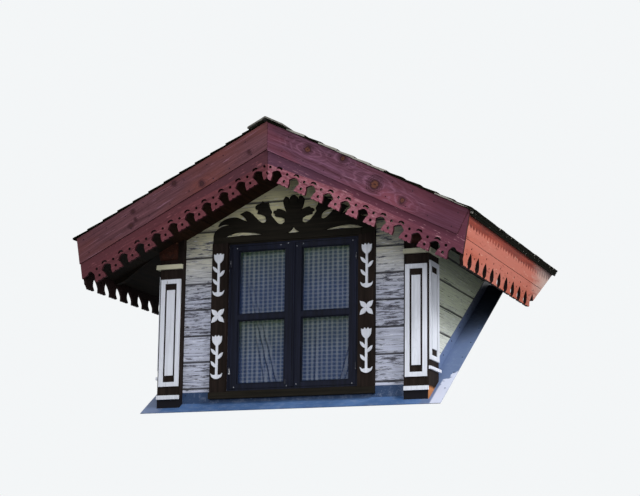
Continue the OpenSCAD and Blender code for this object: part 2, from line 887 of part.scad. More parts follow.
// One light: the outline from the meeting stile to the outer stile
module sash_outline() {
    difference() {
        translate([sash_gap / 2, sash_foot]) square([sash_half - sash_gap / 2, sash_top - sash_foot]);
        translate([glass_inner, glass_foot])
            square([glass_outer - glass_inner, bar_z - bar_h / 2 - glass_foot]);
        translate([glass_inner, bar_z + bar_h / 2])
            square([glass_outer - glass_inner, glass_top - bar_z - bar_h / 2]);
    }
}

module sash_right() {
    groove = 10;
    color(navy) difference() {
        union() {
            facing(sash_y, sash_t) sash_outline();
            // The strip that covers the joint between the two sashes
            translate([sash_gap / 2, sash_y - cover_t, sash_foot])
                cube([cover_w / 2 - sash_gap / 2, cover_t, sash_top - sash_foot]);
        }
        // Groove for the glass
        translate([glass_inner - groove, sash_y + glass_back, glass_foot - groove])
            cube([glass_outer - glass_inner + 2 * groove, glass_t,
                glass_top - glass_foot + 2 * groove]);
    }
}

module window_glass() {
    hold = 10 - seat;
    color(clear_glass) for (side = [0, 1]) mirror([side, 0, 0])
        translate([glass_inner - hold, sash_y + glass_back + 0.2, glass_foot - hold])
            cube([glass_outer - glass_inner + 2 * hold, glass_t - 0.4,
                glass_top - glass_foot + 2 * hold]);
}

// Butt hinges: the leaves stand in the joint and the knuckle stands before it
module hinge(z) {
    x = sash_half + sash_gap / 2;
    translate([sash_half + seat, front_y - hinge_r, z])
        cube([sash_gap - 2 * seat, hinge_r + 30, hinge_h]);
    translate([x, front_y - hinge_r - seat, z]) cylinder(r = hinge_r, h = hinge_h, $fn = 24);
}

module window_hinges() {
    color(white_paint) for (side = [0, 1]) mirror([side, 0, 0]) {
        hinge(window_z + hinge_low);
        hinge(window_top - hinge_low - hinge_h);
    }
}

rod_y = front_y + rod_back;
rod_z = window_top - rod_drop;

module curtain_rod() {
    half = window_half - frame_face - seat;
    color(white_paint) translate([-half, rod_y, rod_z]) rotate([0, 90, 0])
        cylinder(d = rod_d, h = 2 * half, $fn = 32);
}

// Each curtain is a waved sheet that hangs from the rod
module curtains() {
    gap = 12;
    half = window_half - frame_face - gap;
    drop_to = sash_foot + 6;
    n = folds * 8;
    wave = function (i, d) [gap / 2 + (half - gap) * i / n,
        rod_y + (fold_half) * sin(360 * folds * i / n) + d];
    color(curtain_blue) for (side = [0, 1]) mirror([side, 0, 0])
        translate([0, 0, drop_to]) linear_extrude(rod_z - rod_d / 2 - seat - drop_to)
            polygon(concat([for (i = [0 : n]) wave(i, -curtain_t / 2)],
                [for (i = [n : -1 : 0]) wave(i, curtain_t / 2)]));
}

// Casing and crest

apron_top = roof_face(front_y) + apron_up;

module casing_right() {
    color(dark_brown) difference() {
        facing(casing_y, casing_t)
            translate([window_half, window_z - 4]) square([casing_w, window_h + 8 - seat]);
        // Rebate over the apron's upstand
        translate([window_half - 1, front_y - sheet_t - seat, -far / 2])
            cube([casing_w + 2, far, far / 2 + apron_top + seat]);
    }
}

module window_sill() {
    top = window_z - 4 - seat;
    back = front_y - sheet_t - seat;
    color(dark_brown)
        translate([-casing_outer, front_y - sill_out, top - sill_h])
            cube([2 * casing_outer, back - front_y + sill_out, sill_h]);
}

// The crest is drawn from its foot for a half width of 610 and a height of 316
function crest_fit(p) = [for (q = p) [q[0] * casing_outer / 610, q[1] * crest_h / 316]];

// Right half of the crest: the palmette, a scalloped leaf and two scrolled leaves
module crest_half() {
    edge = concat(
        through([[-1, 315], [20, 305], [32, 278], [25, 250]]),
        through([[25, 250], [38, 270], [42, 298], [58, 308]]),
        through([[58, 308], [76, 283], [72, 243], [50, 188]]),
        through([[50, 188], [70, 208], [98, 220], [122, 223]]),
        through([[122, 223], [130, 212], [150, 208], [152, 194], [139, 186]]),
        through([[139, 186], [137, 172], [118, 166], [92, 160], [66, 148]]),
        through([[66, 148], [66, 126], [90, 112], [118, 122], [146, 150], [174, 186]]),
        through([[174, 186], [168, 208], [182, 232], [193, 278]]),
        through([[193, 278], [214, 271], [236, 288]]),
        through([[236, 288], [250, 270], [272, 266]]),
        through([[272, 266], [290, 250], [286, 232]]),
        through([[286, 232], [268, 222], [276, 198]]),
        through([[276, 198], [248, 192], [216, 174], [206, 144], [227, 129],
            [260, 147], [293, 179], [322, 208], [358, 224], [407, 203]]),
        through([[407, 203], [378, 184], [350, 148]]),
        through([[350, 148], [390, 166], [440, 184], [500, 180], [552, 158],
            [576, 128]]),
        through([[576, 128], [530, 140], [468, 130]]),
        through([[468, 130], [520, 128], [572, 110], [604, 76], [610, 38]]),
        [[610, 0], [-1, 0]]);
    difference() {
        translate([0, crest_foot]) outline(crest_fit(edge));
        translate([0, crest_foot]) {
            // Crescent slit over the window
            outline(concat(
                through([[226, 46], [300, 65], [380, 74], [450, 71], [530, 45]]),
                through([[530, 45], [450, 47], [380, 48], [300, 47], [226, 46]])));
            // Half of the small peak in the middle
            outline([[-2, 45], [50, 45], [20, 63], [0, 88], [-2, 88]]);
        }
    }
}

module crest_board() {
    color(dark_brown) {
        facing(front_y - crest_t, crest_t) {
            crest_half();
            mirror([1, 0]) crest_half();
        }
        translate([-window_half - frame_face, front_y - crest_t - head_rail_t, crest_foot])
            cube([window_w + 2 * frame_face, head_rail_t, head_rail_h]);
    }
}

// A tulip with four leaves on a crescent foot, drawn up from the foot's lowest point
module tulip() {
    cup = through([[-8, 234], [-27, 254], [-35, 274], [-37, 308]]);
    crown = [[-22, 297], [-12, 310], [0, 296], [12, 310], [22, 297]];
    outline(concat(cup, crown, [for (i = [len(cup) - 1 : -1 : 0]) [-cup[i][0], cup[i][1]]]));
    translate([-8, 12]) square([16, 230]);
    // Crescent foot
    outline(concat(
        through([[-45, 42], [-34, 14], [0, 0], [34, 14], [45, 42]]),
        through([[45, 42], [28, 29], [8, 32]]),
        through([[-8, 32], [-28, 29], [-45, 42]])));
    leaf(-1, 84, 44);
    leaf(1, 142, 46);
    leaf(-1, 172, 46);
}

// A pointed leaf that leaves the stem at a height z on one side and rises outwards
module leaf(side, z, reach) {
    outline(concat(
        through([[0, z - 4], [side * 22, z + 3], [side * 38, z + 20], [side * reach, z + 44]]),
        through([[side * reach, z + 44], [side * 30, z + 38], [side * 14, z + 24], [0, z + 8]])));
}

// A flower with four pointed petals, set as a cross
module petal_flower() {
    for (a = [45 : 90 : 315]) rotate(a)
        outline(concat(through([[0, -8], [34, -17], [68, 0]]), through([[68, 0], [34, 17], [0, 8]])));
}

module ornament_row() {
    translate([ornament_x, window_top - upper_tulip_drop]) tulip();
    translate([ornament_x, window_z + flower_up]) petal_flower();
    translate([ornament_x, window_z + lower_tulip_up]) tulip();
}

module casing_ornaments() {
    color(white_paint) facing(casing_y - ornament_t, ornament_t) {
        ornament_row();
        translate([-2 * ornament_x, 0]) ornament_row();
    }
}

// Flashing

module apron_flashing() {
    lift = on_main(sheet_t);
    y0 = front_y - apron_out;
    color(sheet_blue) difference() {
        sideways(-board_x + seat, 2 * (board_x - seat))
            polygon([[y0, roof_face(y0)], [front_y - sheet_t, roof_face(front_y - sheet_t)],
                [front_y, roof_face(front_y)], [front_y, roof_face(front_y) + apron_up],
                [front_y - sheet_t, roof_face(front_y) + apron_up],
                [front_y - sheet_t, roof_face(front_y - sheet_t) + lift],
                [y0, roof_face(y0) + lift]]);
        // The corner boards stand before the upstand
        for (side = [0, 1]) mirror([side, 0, 0])
            translate([corner_in - seat, front_y - sheet_t - 1, roof_face(front_y) + lift])
                cube([far, sheet_t + 2, far]);
    }
}

module side_flashing_right() {
    y_end = face_y(at_slope(soffit_under, board_x + side_flange)) - 20;
    color(sheet_blue) {
        // Flange on the main roof
        sideways(board_x, side_flange) flashing_strip(front_y - apron_out, y_end, 0, sheet_t);
        // Upstand on the cheek boards
        sideways(board_x, sheet_t)
            flashing_strip(side_corner_end + seat, y_end, sheet_t - 1, upstand);
    }
}

module flashing_strip(y0, y1, low, high) {
    polygon([[y0, roof_face(y0) + on_main(low)], [y1, roof_face(y1) + on_main(low)],
        [y1, roof_face(y1) + on_main(high)], [y0, roof_face(y0) + on_main(high)]]);
}

sole_timbers();
front_wall();
front_boards();
mirrored_x() cheek_wall_right();  // cheek_wall_left
cheek_wall_right();
mirrored_x() cheek_boards_right();  // cheek_boards_left
cheek_boards_right();
mirrored_x() wall_plate_right();  // wall_plate_left
wall_plate_right();
rafters();
ridge_beam();
mirrored_x() roof_deck_right();  // roof_deck_left
roof_deck_right();
mirrored_x() soffit_right();  // soffit_left
soffit_right();
mirrored_x() shingles_right();  // shingles_left
shingles_right();
ridge_cap();
mirrored_x() bargeboard(-1);  // bargeboard_left
bargeboard(1);  // bargeboard_right
mirrored_x() gable_fret(-1);  // gable_fret_left
gable_fret(1);  // gable_fret_right
mirrored_x() fascia_right();  // fascia_left
fascia_right();
mirrored_x() eave_fret_right();  // eave_fret_left
eave_fret_right();
mirrored_x() corner_boards_right();  // corner_boards_left
corner_boards_right();
mirrored_x() corner_trim_right();  // corner_trim_left
corner_trim_right();
window_frame();
mirrored_x() sash_right();  // sash_left
sash_right();
window_hinges();
window_glass();
curtain_rod();
curtains();
mirrored_x() casing_right();  // casing_left
casing_right();
window_sill();
crest_board();
casing_ornaments();
apron_flashing();
mirrored_x() side_flashing_right();  // side_flashing_left
side_flashing_right();
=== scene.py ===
import math
import random
import bpy
from mathutils import Euler, Matrix, Vector


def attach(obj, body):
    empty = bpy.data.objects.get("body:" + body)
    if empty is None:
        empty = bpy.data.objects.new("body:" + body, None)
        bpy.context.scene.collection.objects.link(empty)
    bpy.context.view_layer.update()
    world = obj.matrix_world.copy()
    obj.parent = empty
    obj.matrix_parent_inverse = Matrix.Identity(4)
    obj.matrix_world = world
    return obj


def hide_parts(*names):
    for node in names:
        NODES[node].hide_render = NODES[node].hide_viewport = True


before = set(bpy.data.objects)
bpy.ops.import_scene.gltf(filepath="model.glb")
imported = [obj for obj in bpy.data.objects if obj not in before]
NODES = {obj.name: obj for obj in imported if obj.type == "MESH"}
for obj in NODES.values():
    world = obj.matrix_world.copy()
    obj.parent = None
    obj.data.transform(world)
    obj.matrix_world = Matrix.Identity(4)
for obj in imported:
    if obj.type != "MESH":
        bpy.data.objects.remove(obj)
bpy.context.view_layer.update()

PITCH = math.radians(26.65)
RUN, FALL = math.cos(PITCH), math.sin(PITCH)
SEAT_PITCH = math.radians(33.5)
SEAT_RISE = math.tan(SEAT_PITCH)
# The flashings lie this far over the seat, square to it and upright
BASE_LIFT = 0.045
BASE_RISE = 0.054
FRONT_Y = -0.060
BARGE_Y = -0.578
VERGE_BACK_Y = -0.543
RIDGE_Z = 1.853
BARGE_RISE = 0.054
DECK_THICK = 0.025
DECK_TOP = RIDGE_Z - BARGE_RISE / RUN + DECK_THICK / RUN
EAVE_X = 1.462
WINDOW_SIDE = 0.490
SILL_TOP = 0.084
HEAD_Z = 1.1418
SOFFIT_AT_CHEEK = 1.118


def paint(r, g, b):
    """A colour from 0 to 255 as the shader wants it"""
    def lin(c):
        c /= 255
        return c / 12.92 if c <= 0.04045 else ((c + 0.055) / 1.055) ** 2.4
    return (lin(r), lin(g), lin(b), 1)


# ---- finishes
class Finish:
    """A material under construction: the methods add nodes and hand back an output"""

    def __init__(self, name, rough=0.72, sheen=0.0, ior=1.5, shine=0.12):
        self.mat = bpy.data.materials.new(name)
        self.mat.use_nodes = True
        self.nt = self.mat.node_tree
        self.body = self.nt.nodes["Principled BSDF"]
        for socket, value in (("Roughness", rough), ("IOR", ior), ("Specular IOR Level", shine),
                              ("Sheen Weight", sheen)):
            self.body.inputs[socket].default_value = value

    def put(self, socket, value):
        if isinstance(value, bpy.types.NodeSocket):
            self.nt.links.new(value, socket)
        else:
            socket.default_value = value

    def node(self, kind, feeds=(), **settings):
        """A new node with its settings, and with a value or a link put into each socket named"""
        made = self.nt.nodes.new("ShaderNode" + kind)
        for name, value in settings.items():
            setattr(made, name, value)
        for socket, value in dict(feeds).items():
            self.put(made.inputs[socket], value)
        return made

    def place(self, turn=(0, 0, 0), stretch=(1, 1, 1), shift=(0, 0, 0), attribute=None):
        """The object's own coordinates or a stored attribute, turned and shifted, then stretched"""
        if attribute:
            where = self.node("Attribute", attribute_name=attribute).outputs["Vector"]
        else:
            where = self.node("TexCoord").outputs["Object"]
        spin = self.node("Mapping", {"Vector": where, "Rotation": turn, "Location": shift})
        return self.node("Mapping", {"Vector": spin.outputs[0], "Scale": stretch}).outputs[0]

    def facing(self, axis):
        """How far the surface looks along an axis: -1 to 1"""
        return self.part(self.node("TexCoord").outputs["Normal"], axis)

    def noise(self, where, scale, detail=4, rough=0.55, twist=0.0):
        return self.node("TexNoise", {"Vector": where, "Scale": scale, "Detail": detail,
                                      "Roughness": rough, "Distortion": twist}).outputs["Fac"]

    def ramp(self, share, *stops):
        n = self.node("ValToRGB", {0: share})
        marks = n.color_ramp.elements
        while len(marks) < len(stops):
            marks.new(0.5)
        for mark, (at, tone) in zip(marks, stops):
            mark.position = at
            mark.color = paint(*tone) if isinstance(tone, tuple) else (tone, tone, tone, 1)
        return n.outputs[0]

    def mix(self, share, a, b):
        a, b = (paint(*tone) if isinstance(tone, tuple) else tone for tone in (a, b))
        return self.node("Mix", {0: share, 6: a, 7: b}, data_type="RGBA",
                         clamp_result=True).outputs[2]

    def sum(self, how, a, b=0.0, c=0.0):
        return self.node("Math", {0: a, 1: b, 2: c}, operation=how).outputs[0]

    def times(self, a, b, plus=None):
        """The product of two values, plus a third where it is given"""
        if plus is None:
            return self.sum("MULTIPLY", a, b)
        return self.sum("MULTIPLY_ADD", a, b, plus)

    def at(self, axis):
        """The object's own coordinate along an axis"""
        return self.part(self.place(), axis)

    def part(self, vector, axis):
        return self.node("SeparateXYZ", {0: vector}).outputs[axis]

    def above(self, value, low, high):
        """0 below low, 1 above high, and a straight rise between"""
        return self.node("MapRange", {"Value": value, "From Min": low, "From Max": high}).outputs[0]

    def seen(self):
        """1 for what the eye sees, also in and through glass, and 0 for light on the object"""
        path = self.node("LightPath").outputs
        return self.sum("MAXIMUM", path["Is Camera Ray"],
                        self.sum("MAXIMUM", path["Is Glossy Ray"], path["Is Transmission Ray"]))

    def bump(self, *layers):
        """Layers of (height, depth in metres), stacked"""
        last = None
        for height, depth in layers:
            feeds = {"Distance": depth, "Height": height}
            if last:
                feeds["Normal"] = last
            last = self.node("Bump", feeds).outputs[0]
        self.put(self.body.inputs["Normal"], last)

    def colour(self, value):
        self.put(self.body.inputs["Base Color"], value)

    def gloss(self, value):
        self.put(self.body.inputs["Roughness"], value)


SLOPE = {1: (0, -PITCH, 0), -1: (0, PITCH, 0)}
UPRIGHT = (0, math.radians(90), 0)
LEVEL = (0, 0, 0)
INWARD = (0, 0, math.radians(90))


def nearest_knot(f, spots, pull, turn, along=1.0):
    """Distance to the nearest knot at (x, z, radius), in radii, wavering with the grain"""
    flat = f.place(turn, (along, 0, 1))
    best = None
    for x, z, r in spots:
        spot = Euler(turn).to_matrix() @ Vector((x, 0, z))
        n = f.node("VectorMath", {0: flat, 1: (spot.x * along, 0, spot.z)}, operation="DISTANCE")
        d = f.sum("DIVIDE", n.outputs["Value"], r)
        best = d if best is None else f.sum("MINIMUM", best, d)
    return f.times(f.sum("SUBTRACT", pull, 0.5), 1.3, best)


def brushed(f, tones, turn, depth):
    """Paint or stain brushed on softwood: broad streaks, growth rings that show, fine fibres"""
    light, mid, dark = tones
    streak = f.noise(f.place(turn, (1.0, 22, 22)), 1.9, 6, 0.62, 0.4)
    fibre = f.noise(f.place(turn, (5.0, 260, 260)), 1.0, 3, 0.6)
    slow = f.noise(f.place(turn, (0.9, 6.5, 6.5), (1.7, 0.3, 0.9)), 1.3, 2, 0.4)
    ring = f.sum("FRACT", f.times(slow, 16.0))
    tone = f.ramp(streak, (0.30, dark), (0.48, mid), (0.72, light))
    tone = f.mix(f.ramp(ring, (0.0, 0.32), (0.16, 0.0), (0.86, 0.0), (1.0, 0.32)), tone, dark)
    tone = f.mix(f.ramp(fibre, (0.36, 0.5), (0.55, 0.0)), tone, dark)
    f.bump((streak, depth), (fibre, depth * 0.35))
    return tone, streak, slow


def stained_wood(name, tones, turn, rough=0.72, depth=0.0012, shine=0.12, wear=None,
                 wear_share=0.2):
    """Plain stain or paint on a board, worn through to the colour wear in small flakes"""
    f = Finish(name, rough, shine=shine)
    tone, streak, _ = brushed(f, tones, turn, depth)
    if wear:
        chips = f.noise(f.place(turn, (3.0, 16, 16), (0.4, 2.2, 0.3)), 2.6, 8, 0.7)
        share = 0.70 - 0.25 * wear_share
        tone = f.mix(f.ramp(chips, (share, 0.0), (share + 0.03, 1.0)), tone, wear)
    f.colour(tone)
    f.gloss(f.ramp(streak, (0.3, rough - 0.08), (0.7, rough + 0.1)))
    return f.mat


def soffit_stain():
    """Dark brown stain, made near black towards the eaves as painted shade"""
    f = Finish("soffit_stain", 0.8, shine=0.06)
    tone, streak, _ = brushed(f, SOFFIT, INWARD, 0.0012)
    # Painted shade: the stain goes near black towards the eaves, where the soffit lies in shade
    out = f.times(streak, 0.12, f.sum("ABSOLUTE", f.at(0)))
    eave_shade = f.ramp(streak, (0.4, (10, 8, 6)), (0.65, (24, 17, 11)))
    f.colour(f.mix(f.above(out, 0.86, 1.06), tone, eave_shade))
    return f.mat


def burgundy_board(name, side, tones, knots, cloudy, swirls, heart):
    """The bargeboard: burgundy stain that lets knots and grain show, with pale scratches"""
    f = Finish(name, 0.72, shine=0.14)
    turn = SLOPE[side]
    tone, streak, slow = brushed(f, tones, turn, 0.0013)
    cloud = f.noise(f.place(turn, (1.2, 4, 4), (2.1, 0.7, 3.3)), 1.4, 4)
    tone = f.mix(f.ramp(cloud, (0.42, 0.0), (0.66, 0.75)), tone, cloudy)
    scratch = f.noise(f.place(turn, (2.4, 75, 75), (0.2, 1.1, 0.6)), 1.5, 4, 0.6, 0.8)
    tone = f.mix(f.ramp(scratch, (0.63, 0.0), (0.70, 0.45)), tone, (168, 124, 146))
    wide = nearest_knot(f, knots, slow, turn, 0.42)
    swirl = f.times(wide, 1.15, f.times(streak, 1.5))
    swirl = f.times(cloud, 3.4, swirl)
    swirl = f.ramp(f.sum("FRACT", swirl), (0.22, 0.0), (0.46, 0.36), (0.66, 0.0))
    swirl = f.times(swirl, f.above(wide, 4.4, 1.2))
    tone = f.mix(swirl, tone, swirls)
    near = f.times(nearest_knot(f, knots, streak, turn), 0.5)
    halo = f.ramp(near, (0.44, 1.0), (0.58, 0.35), (0.64, 0.85), (0.74, 0.1), (0.80, 0.6),
                  (0.92, 0.0))
    tone = f.mix(halo, tone, (50, 25, 32))
    tone = f.mix(f.ramp(near, (0.24, 0.85), (0.40, 0.0)), tone, heart)
    tone = f.mix(f.ramp(near, (0.08, 0.9), (0.15, 0.0)), tone, (52, 26, 26))
    if side > 0:
        # The right board is darker towards its outer end
        outer = f.times(f.above(f.at(0), 0.92, 1.25), 0.65)
        tone = f.mix(outer, tone, (70, 32, 46))
    # Painted shade: the edge faces are dark, and only the front and back faces keep the stain
    edge = f.sum("ABSOLUTE", f.facing(1))
    f.colour(f.mix(f.above(edge, 0.4, 0.6), (58, 26, 32), tone))
    return f.mat


def red_fret(name, side, tones, strip, outer, worn, darken, faded):
    """The sawn gable strip: a painted shadow band under the joint, pendants that darken outwards,
    and painted shade on the sawn faces"""
    f = Finish(name, 0.76)
    turn = SLOPE[side]
    tone, _, _ = brushed(f, tones, turn, 0.0011)
    x = f.times(f.at(0), float(side))
    # Painted shadow: a dull band under the joint that narrows outwards, in the strip tone near the
    # apex and the outer tone further out; the pendants below it keep the lit tone
    below = f.sum("SUBTRACT", JOINT_Z, f.times(x, math.tan(PITCH), f.at(2)))
    reach = f.times(x, -0.085, 0.094)
    far = f.sum("GREATER_THAN", x, 0.63)
    reach = f.sum("MAXIMUM", reach, f.times(far, 0.058))
    band = f.above(f.sum("SUBTRACT", reach, below), -0.002, 0.003)
    tone = f.mix(f.times(f.above(x, 0.55, 1.20), darken), tone, outer)
    inner = f.mix(f.above(x, 0.28, 0.66), strip, outer)
    tone = f.mix(f.times(band, 0.85), tone, inner)
    flake = f.noise(f.place(turn, (9, 60, 60), (0.7, 0.1, 2.0)), 1.6, 6, 0.7)
    tone = f.mix(f.ramp(flake, (0.60, 0.0), (0.66, 0.6)), tone, worn)
    dust = f.noise(f.place(turn, (14, 40, 40)), 1.6, 8, 0.75)
    near = f.times(f.above(x, 1.05, 0.70), f.sum("SUBTRACT", 1.0, band))
    tone = f.mix(f.times(f.ramp(dust, (0.46, 0.0), (0.62, faded)), near), tone, worn)
    # Painted shade: the sawn faces and hole walls are dark, and only the front and back faces keep
    # the paint
    edge = f.sum("ABSOLUTE", f.facing(1))
    f.colour(f.mix(f.above(edge, 0.4, 0.6), (44, 16, 20), tone))
    return f.mat


def eave_red(name, side):
    """Orange red with a painted ragged shadow of the shingle edges: painted sunlight below it,
    painted shade above it that goes grey at the rear, a pale grey rear end, and peeling
    """
    f = Finish(name, 0.76)
    tone, streak, slow = brushed(f, EAVE, INWARD, 0.0012)
    y, z = f.at(1), f.at(2)
    # Painted shadow of the shingle edges: a ragged line, with painted sunlight under it
    shadow_teeth = f.sum("PINGPONG", f.times(slow, 0.10, y), 0.032)
    ragged_sun_edge = f.times(shadow_teeth, 0.95, f.times(streak, 0.03, SHADE_LINE_Z))
    pale = f.above(f.sum("SUBTRACT", ragged_sun_edge, z), -0.003, 0.004)
    sunlit_tone = f.mix(f.ramp(slow, (0.40, 0.0), (0.60, 1.0)), (190, 116, 100), (178, 96, 76))
    smudge = f.noise(f.place(INWARD, (1.2, 8, 8), (4.2, 0.4, 1.3)), 2.2, 5, 0.7)
    tone = f.mix(f.ramp(smudge, (0.44, 0.0), (0.60, 0.7)), tone, (104, 52, 46))
    tone = f.mix(f.times(pale, 0.78), tone, sunlit_tone)
    peel = f.noise(f.place(INWARD, (3.0, 18, 18), (1.9, 0.2, 0.3)), 2.4, 8, 0.7)
    tone = f.mix(f.ramp(peel, (0.62, 0.0), (0.66, 0.7)), tone, (204, 160, 142))
    tone = f.mix(f.ramp(peel, (0.34, 0.7), (0.42, 0.0)), tone, (112, 50, 40))
    old = f.above(f.sum("ADD", y, f.times(peel, 0.5)), 1.28, 1.62)
    tone = f.mix(old, tone, (186, 160, 150))
    # Painted shade above the ragged shadow line, greyer at the rear
    high = f.sum("SUBTRACT", z, ragged_sun_edge)
    tone = f.mix(f.times(f.above(high, -0.01, 0.075), 0.5), tone, (78, 34, 32))
    rear = f.times(f.above(high, -0.004, 0.03), f.above(y, 1.05, 1.5))
    tone = f.mix(f.times(rear, 0.8), tone, (70, 56, 60))
    # Painted shade: the inner faces and the sawn faces are near black red, and only the outer face
    # keeps the paint
    look = f.times(f.facing(0), float(side))
    f.colour(f.mix(f.above(look, 0.3, 0.6), (22, 8, 7), tone))
    return f.mat


def wall_paint(name, high, low, turn, z_low, z_high, sound_from, sound):
    """Flaking paint on boards: every board has its own tone, with dark cracks along the grain. The
    tone goes from low to high between two heights, and the upper boards are sounder"""
    f = Finish(name, 0.84)
    z = f.at(2)
    course = f.sum("DIVIDE", f.sum("SUBTRACT", z, FIRST_JOINT_Z), WALL_BOARD)
    own = f.node("TexWhiteNoise", {"W": f.sum("FLOOR", course)}, noise_dimensions="1D")
    own = own.outputs["Value"]
    streak = f.noise(f.place(turn, (1.0, 26, 26)), 2.6, 8, 0.68, 0.6)
    fine = f.noise(f.place(turn, (5, 240, 240)), 1.0, 3)
    flake = f.noise(f.place(turn, (3.4, 24, 24), (1.3, 0.2, 4.1)), 2.4, 9, 0.74, 0.3)
    crack = f.noise(f.place(turn, (2.2, 95, 95), (0.3, 2.2, 1.1)), 1.2, 5, 0.62, 0.5)
    height = f.sum("ADD", z, f.times(streak, 0.16))
    tone = f.mix(f.above(height, z_low, z_high), low, high)
    bare = (112, 114, 126)
    whole = f.above(z, sound_from, sound_from + 0.2)
    thin = f.times(whole, -0.75, 1.0)
    rubbed = f.ramp(streak, (0.30, 0.6), (0.50, 0.12), (0.62, 0.0))
    tone = f.mix(f.times(rubbed, thin), tone, bare)
    tone = f.mix(f.times(own, f.times(thin, 0.22)), tone, (128, 132, 148))
    worn = f.sum("ADD", flake, f.times(own, 0.07))
    worn = f.times(whole, -sound, worn)
    tone = f.mix(f.ramp(worn, (0.55, 0.0), (0.58, 0.85)), tone, bare)
    tone = f.mix(f.ramp(worn, (0.60, 0.0), (0.625, 0.95)), tone, (58, 57, 64))
    fleck = f.noise(f.place(turn, (7, 60, 60), (3.3, 1.2, 0.1)), 1.5, 6, 0.7)
    tone = f.mix(f.ramp(fleck, (0.60, 0.0), (0.63, 0.75)), tone, (228, 231, 240))
    edge = f.sum("FRACT", course)
    by_joint = f.above(f.sum("ABSOLUTE", f.sum("SUBTRACT", edge, 0.5)), 0.28, 0.48)
    split = f.times(by_joint, -0.035, crack)
    tone = f.mix(f.ramp(split, (0.345, 0.95), (0.368, 0.0)), tone, (34, 34, 34))
    low_edge = f.sum("ADD", edge, f.times(streak, -0.12))
    tone = f.mix(f.ramp(low_edge, (0.0, 0.9), (0.035, 0.0)), tone, (44, 42, 44))
    tone = f.mix(f.ramp(fine, (0.36, 0.4), (0.50, 0.0)), tone, bare)
    f.colour(tone)
    f.bump((streak, 0.0014), (worn, 0.001), (crack, 0.0012))
    return f.mat


def post_stain(name, bare_foot=True):
    """Near black stain; the right post's foot has lost it down to orange wood"""
    f = Finish(name, 0.7, shine=0.06)
    tone, streak, _ = brushed(f, BROWN, UPRIGHT, 0.001)
    if bare_foot:
        tone = f.mix(f.above(f.at(2), 0.075, 0.055), tone, (24, 23, 27))
        foot = f.times(streak, 0.05, f.at(2))
        bare = f.times(f.above(foot, 0.105, 0.085), f.above(f.at(0), 0.998, 1.0))
        wood = f.ramp(streak, (0.35, (138, 84, 50)), (0.6, (196, 134, 88)))
        tone = f.mix(bare, tone, wood)
    f.colour(tone)
    return f.mat


def trim_white():
    """White paint, cream on the caps under the eaves, rubbed grey in a few places"""
    f = Finish("trim_white", 0.72)
    tone, _, _ = brushed(f, WHITE, UPRIGHT, 0.0006)
    tone = f.mix(f.above(f.at(2), 0.93, 0.97), tone, (206, 204, 178))
    chips = f.noise(f.place(UPRIGHT, (3.0, 16, 16), (0.4, 2.2, 0.3)), 2.6, 8, 0.7)
    f.colour(f.mix(f.ramp(chips, (0.66, 0.0), (0.69, 0.9)), tone, (138, 132, 128)))
    return f.mat


def shingle_wood(name):
    """Silvered split shingles: each one has its own tone, and the ends are dark. They are near
    black along the eave and the verge, but a few forward-facing ends on the right verge are painted
    pale as sunlit"""
    f = Finish(name, 0.9, shine=0.05)
    fine = f.noise(f.place(stretch=(220, 6, 220), attribute="grain"), 1.0, 3)
    streak = f.noise(f.place(stretch=(26, 1.6, 26), attribute="grain"), 1.7, 6, 0.65, 0.5)
    moss = f.noise(f.place(stretch=(9, 9, 9)), 1.6, 5, 0.7)
    tone = f.ramp(streak, (0.28, (106, 104, 98)), (0.5, (166, 165, 156)),
                  (0.72, (212, 212, 202)))
    own = f.part(f.place(attribute="own_tone"), 0)
    tone = f.mix(f.ramp(own, (0.0, 0.0), (1.0, 0.55)), tone, (120, 116, 112))
    tone = f.mix(f.ramp(fine, (0.36, 0.6), (0.5, 0.0)), tone, (66, 62, 58))
    tone = f.mix(f.ramp(moss, (0.62, 0.0), (0.74, 0.45)), tone, (84, 88, 60))
    x, y = f.at(0), f.at(1)
    ends = f.ramp(streak, (0.35, (22, 21, 18)), (0.55, (46, 44, 39)), (0.70, (84, 82, 75)))
    wet = f.ramp(streak, (0.35, (4, 4, 1)), (0.55, (9, 9, 3)), (0.70, (24, 22, 13)))
    at_eave = f.above(f.sum("ABSOLUTE", x), 1.36, 1.40)
    ends = f.mix(f.sum("MAXIMUM", at_eave, f.above(y, -0.50, -0.54)), ends, wet)
    # Painted sunlight: a few forward-facing ends on the right verge are pale
    sunny = f.times(f.above(f.facing(1), -0.5, -0.7), f.above(x, 0.12, 0.2))
    pale = f.times(sunny, f.ramp(f.sum("ADD", own, streak), (0.98, 0.0), (1.06, 0.85)))
    ends = f.mix(pale, ends, (150, 148, 140))
    f.colour(f.mix(f.above(f.facing(2), 0.55, 0.75), ends, tone))
    f.bump((streak, 0.0018), (fine, 0.0006))
    return f.mat


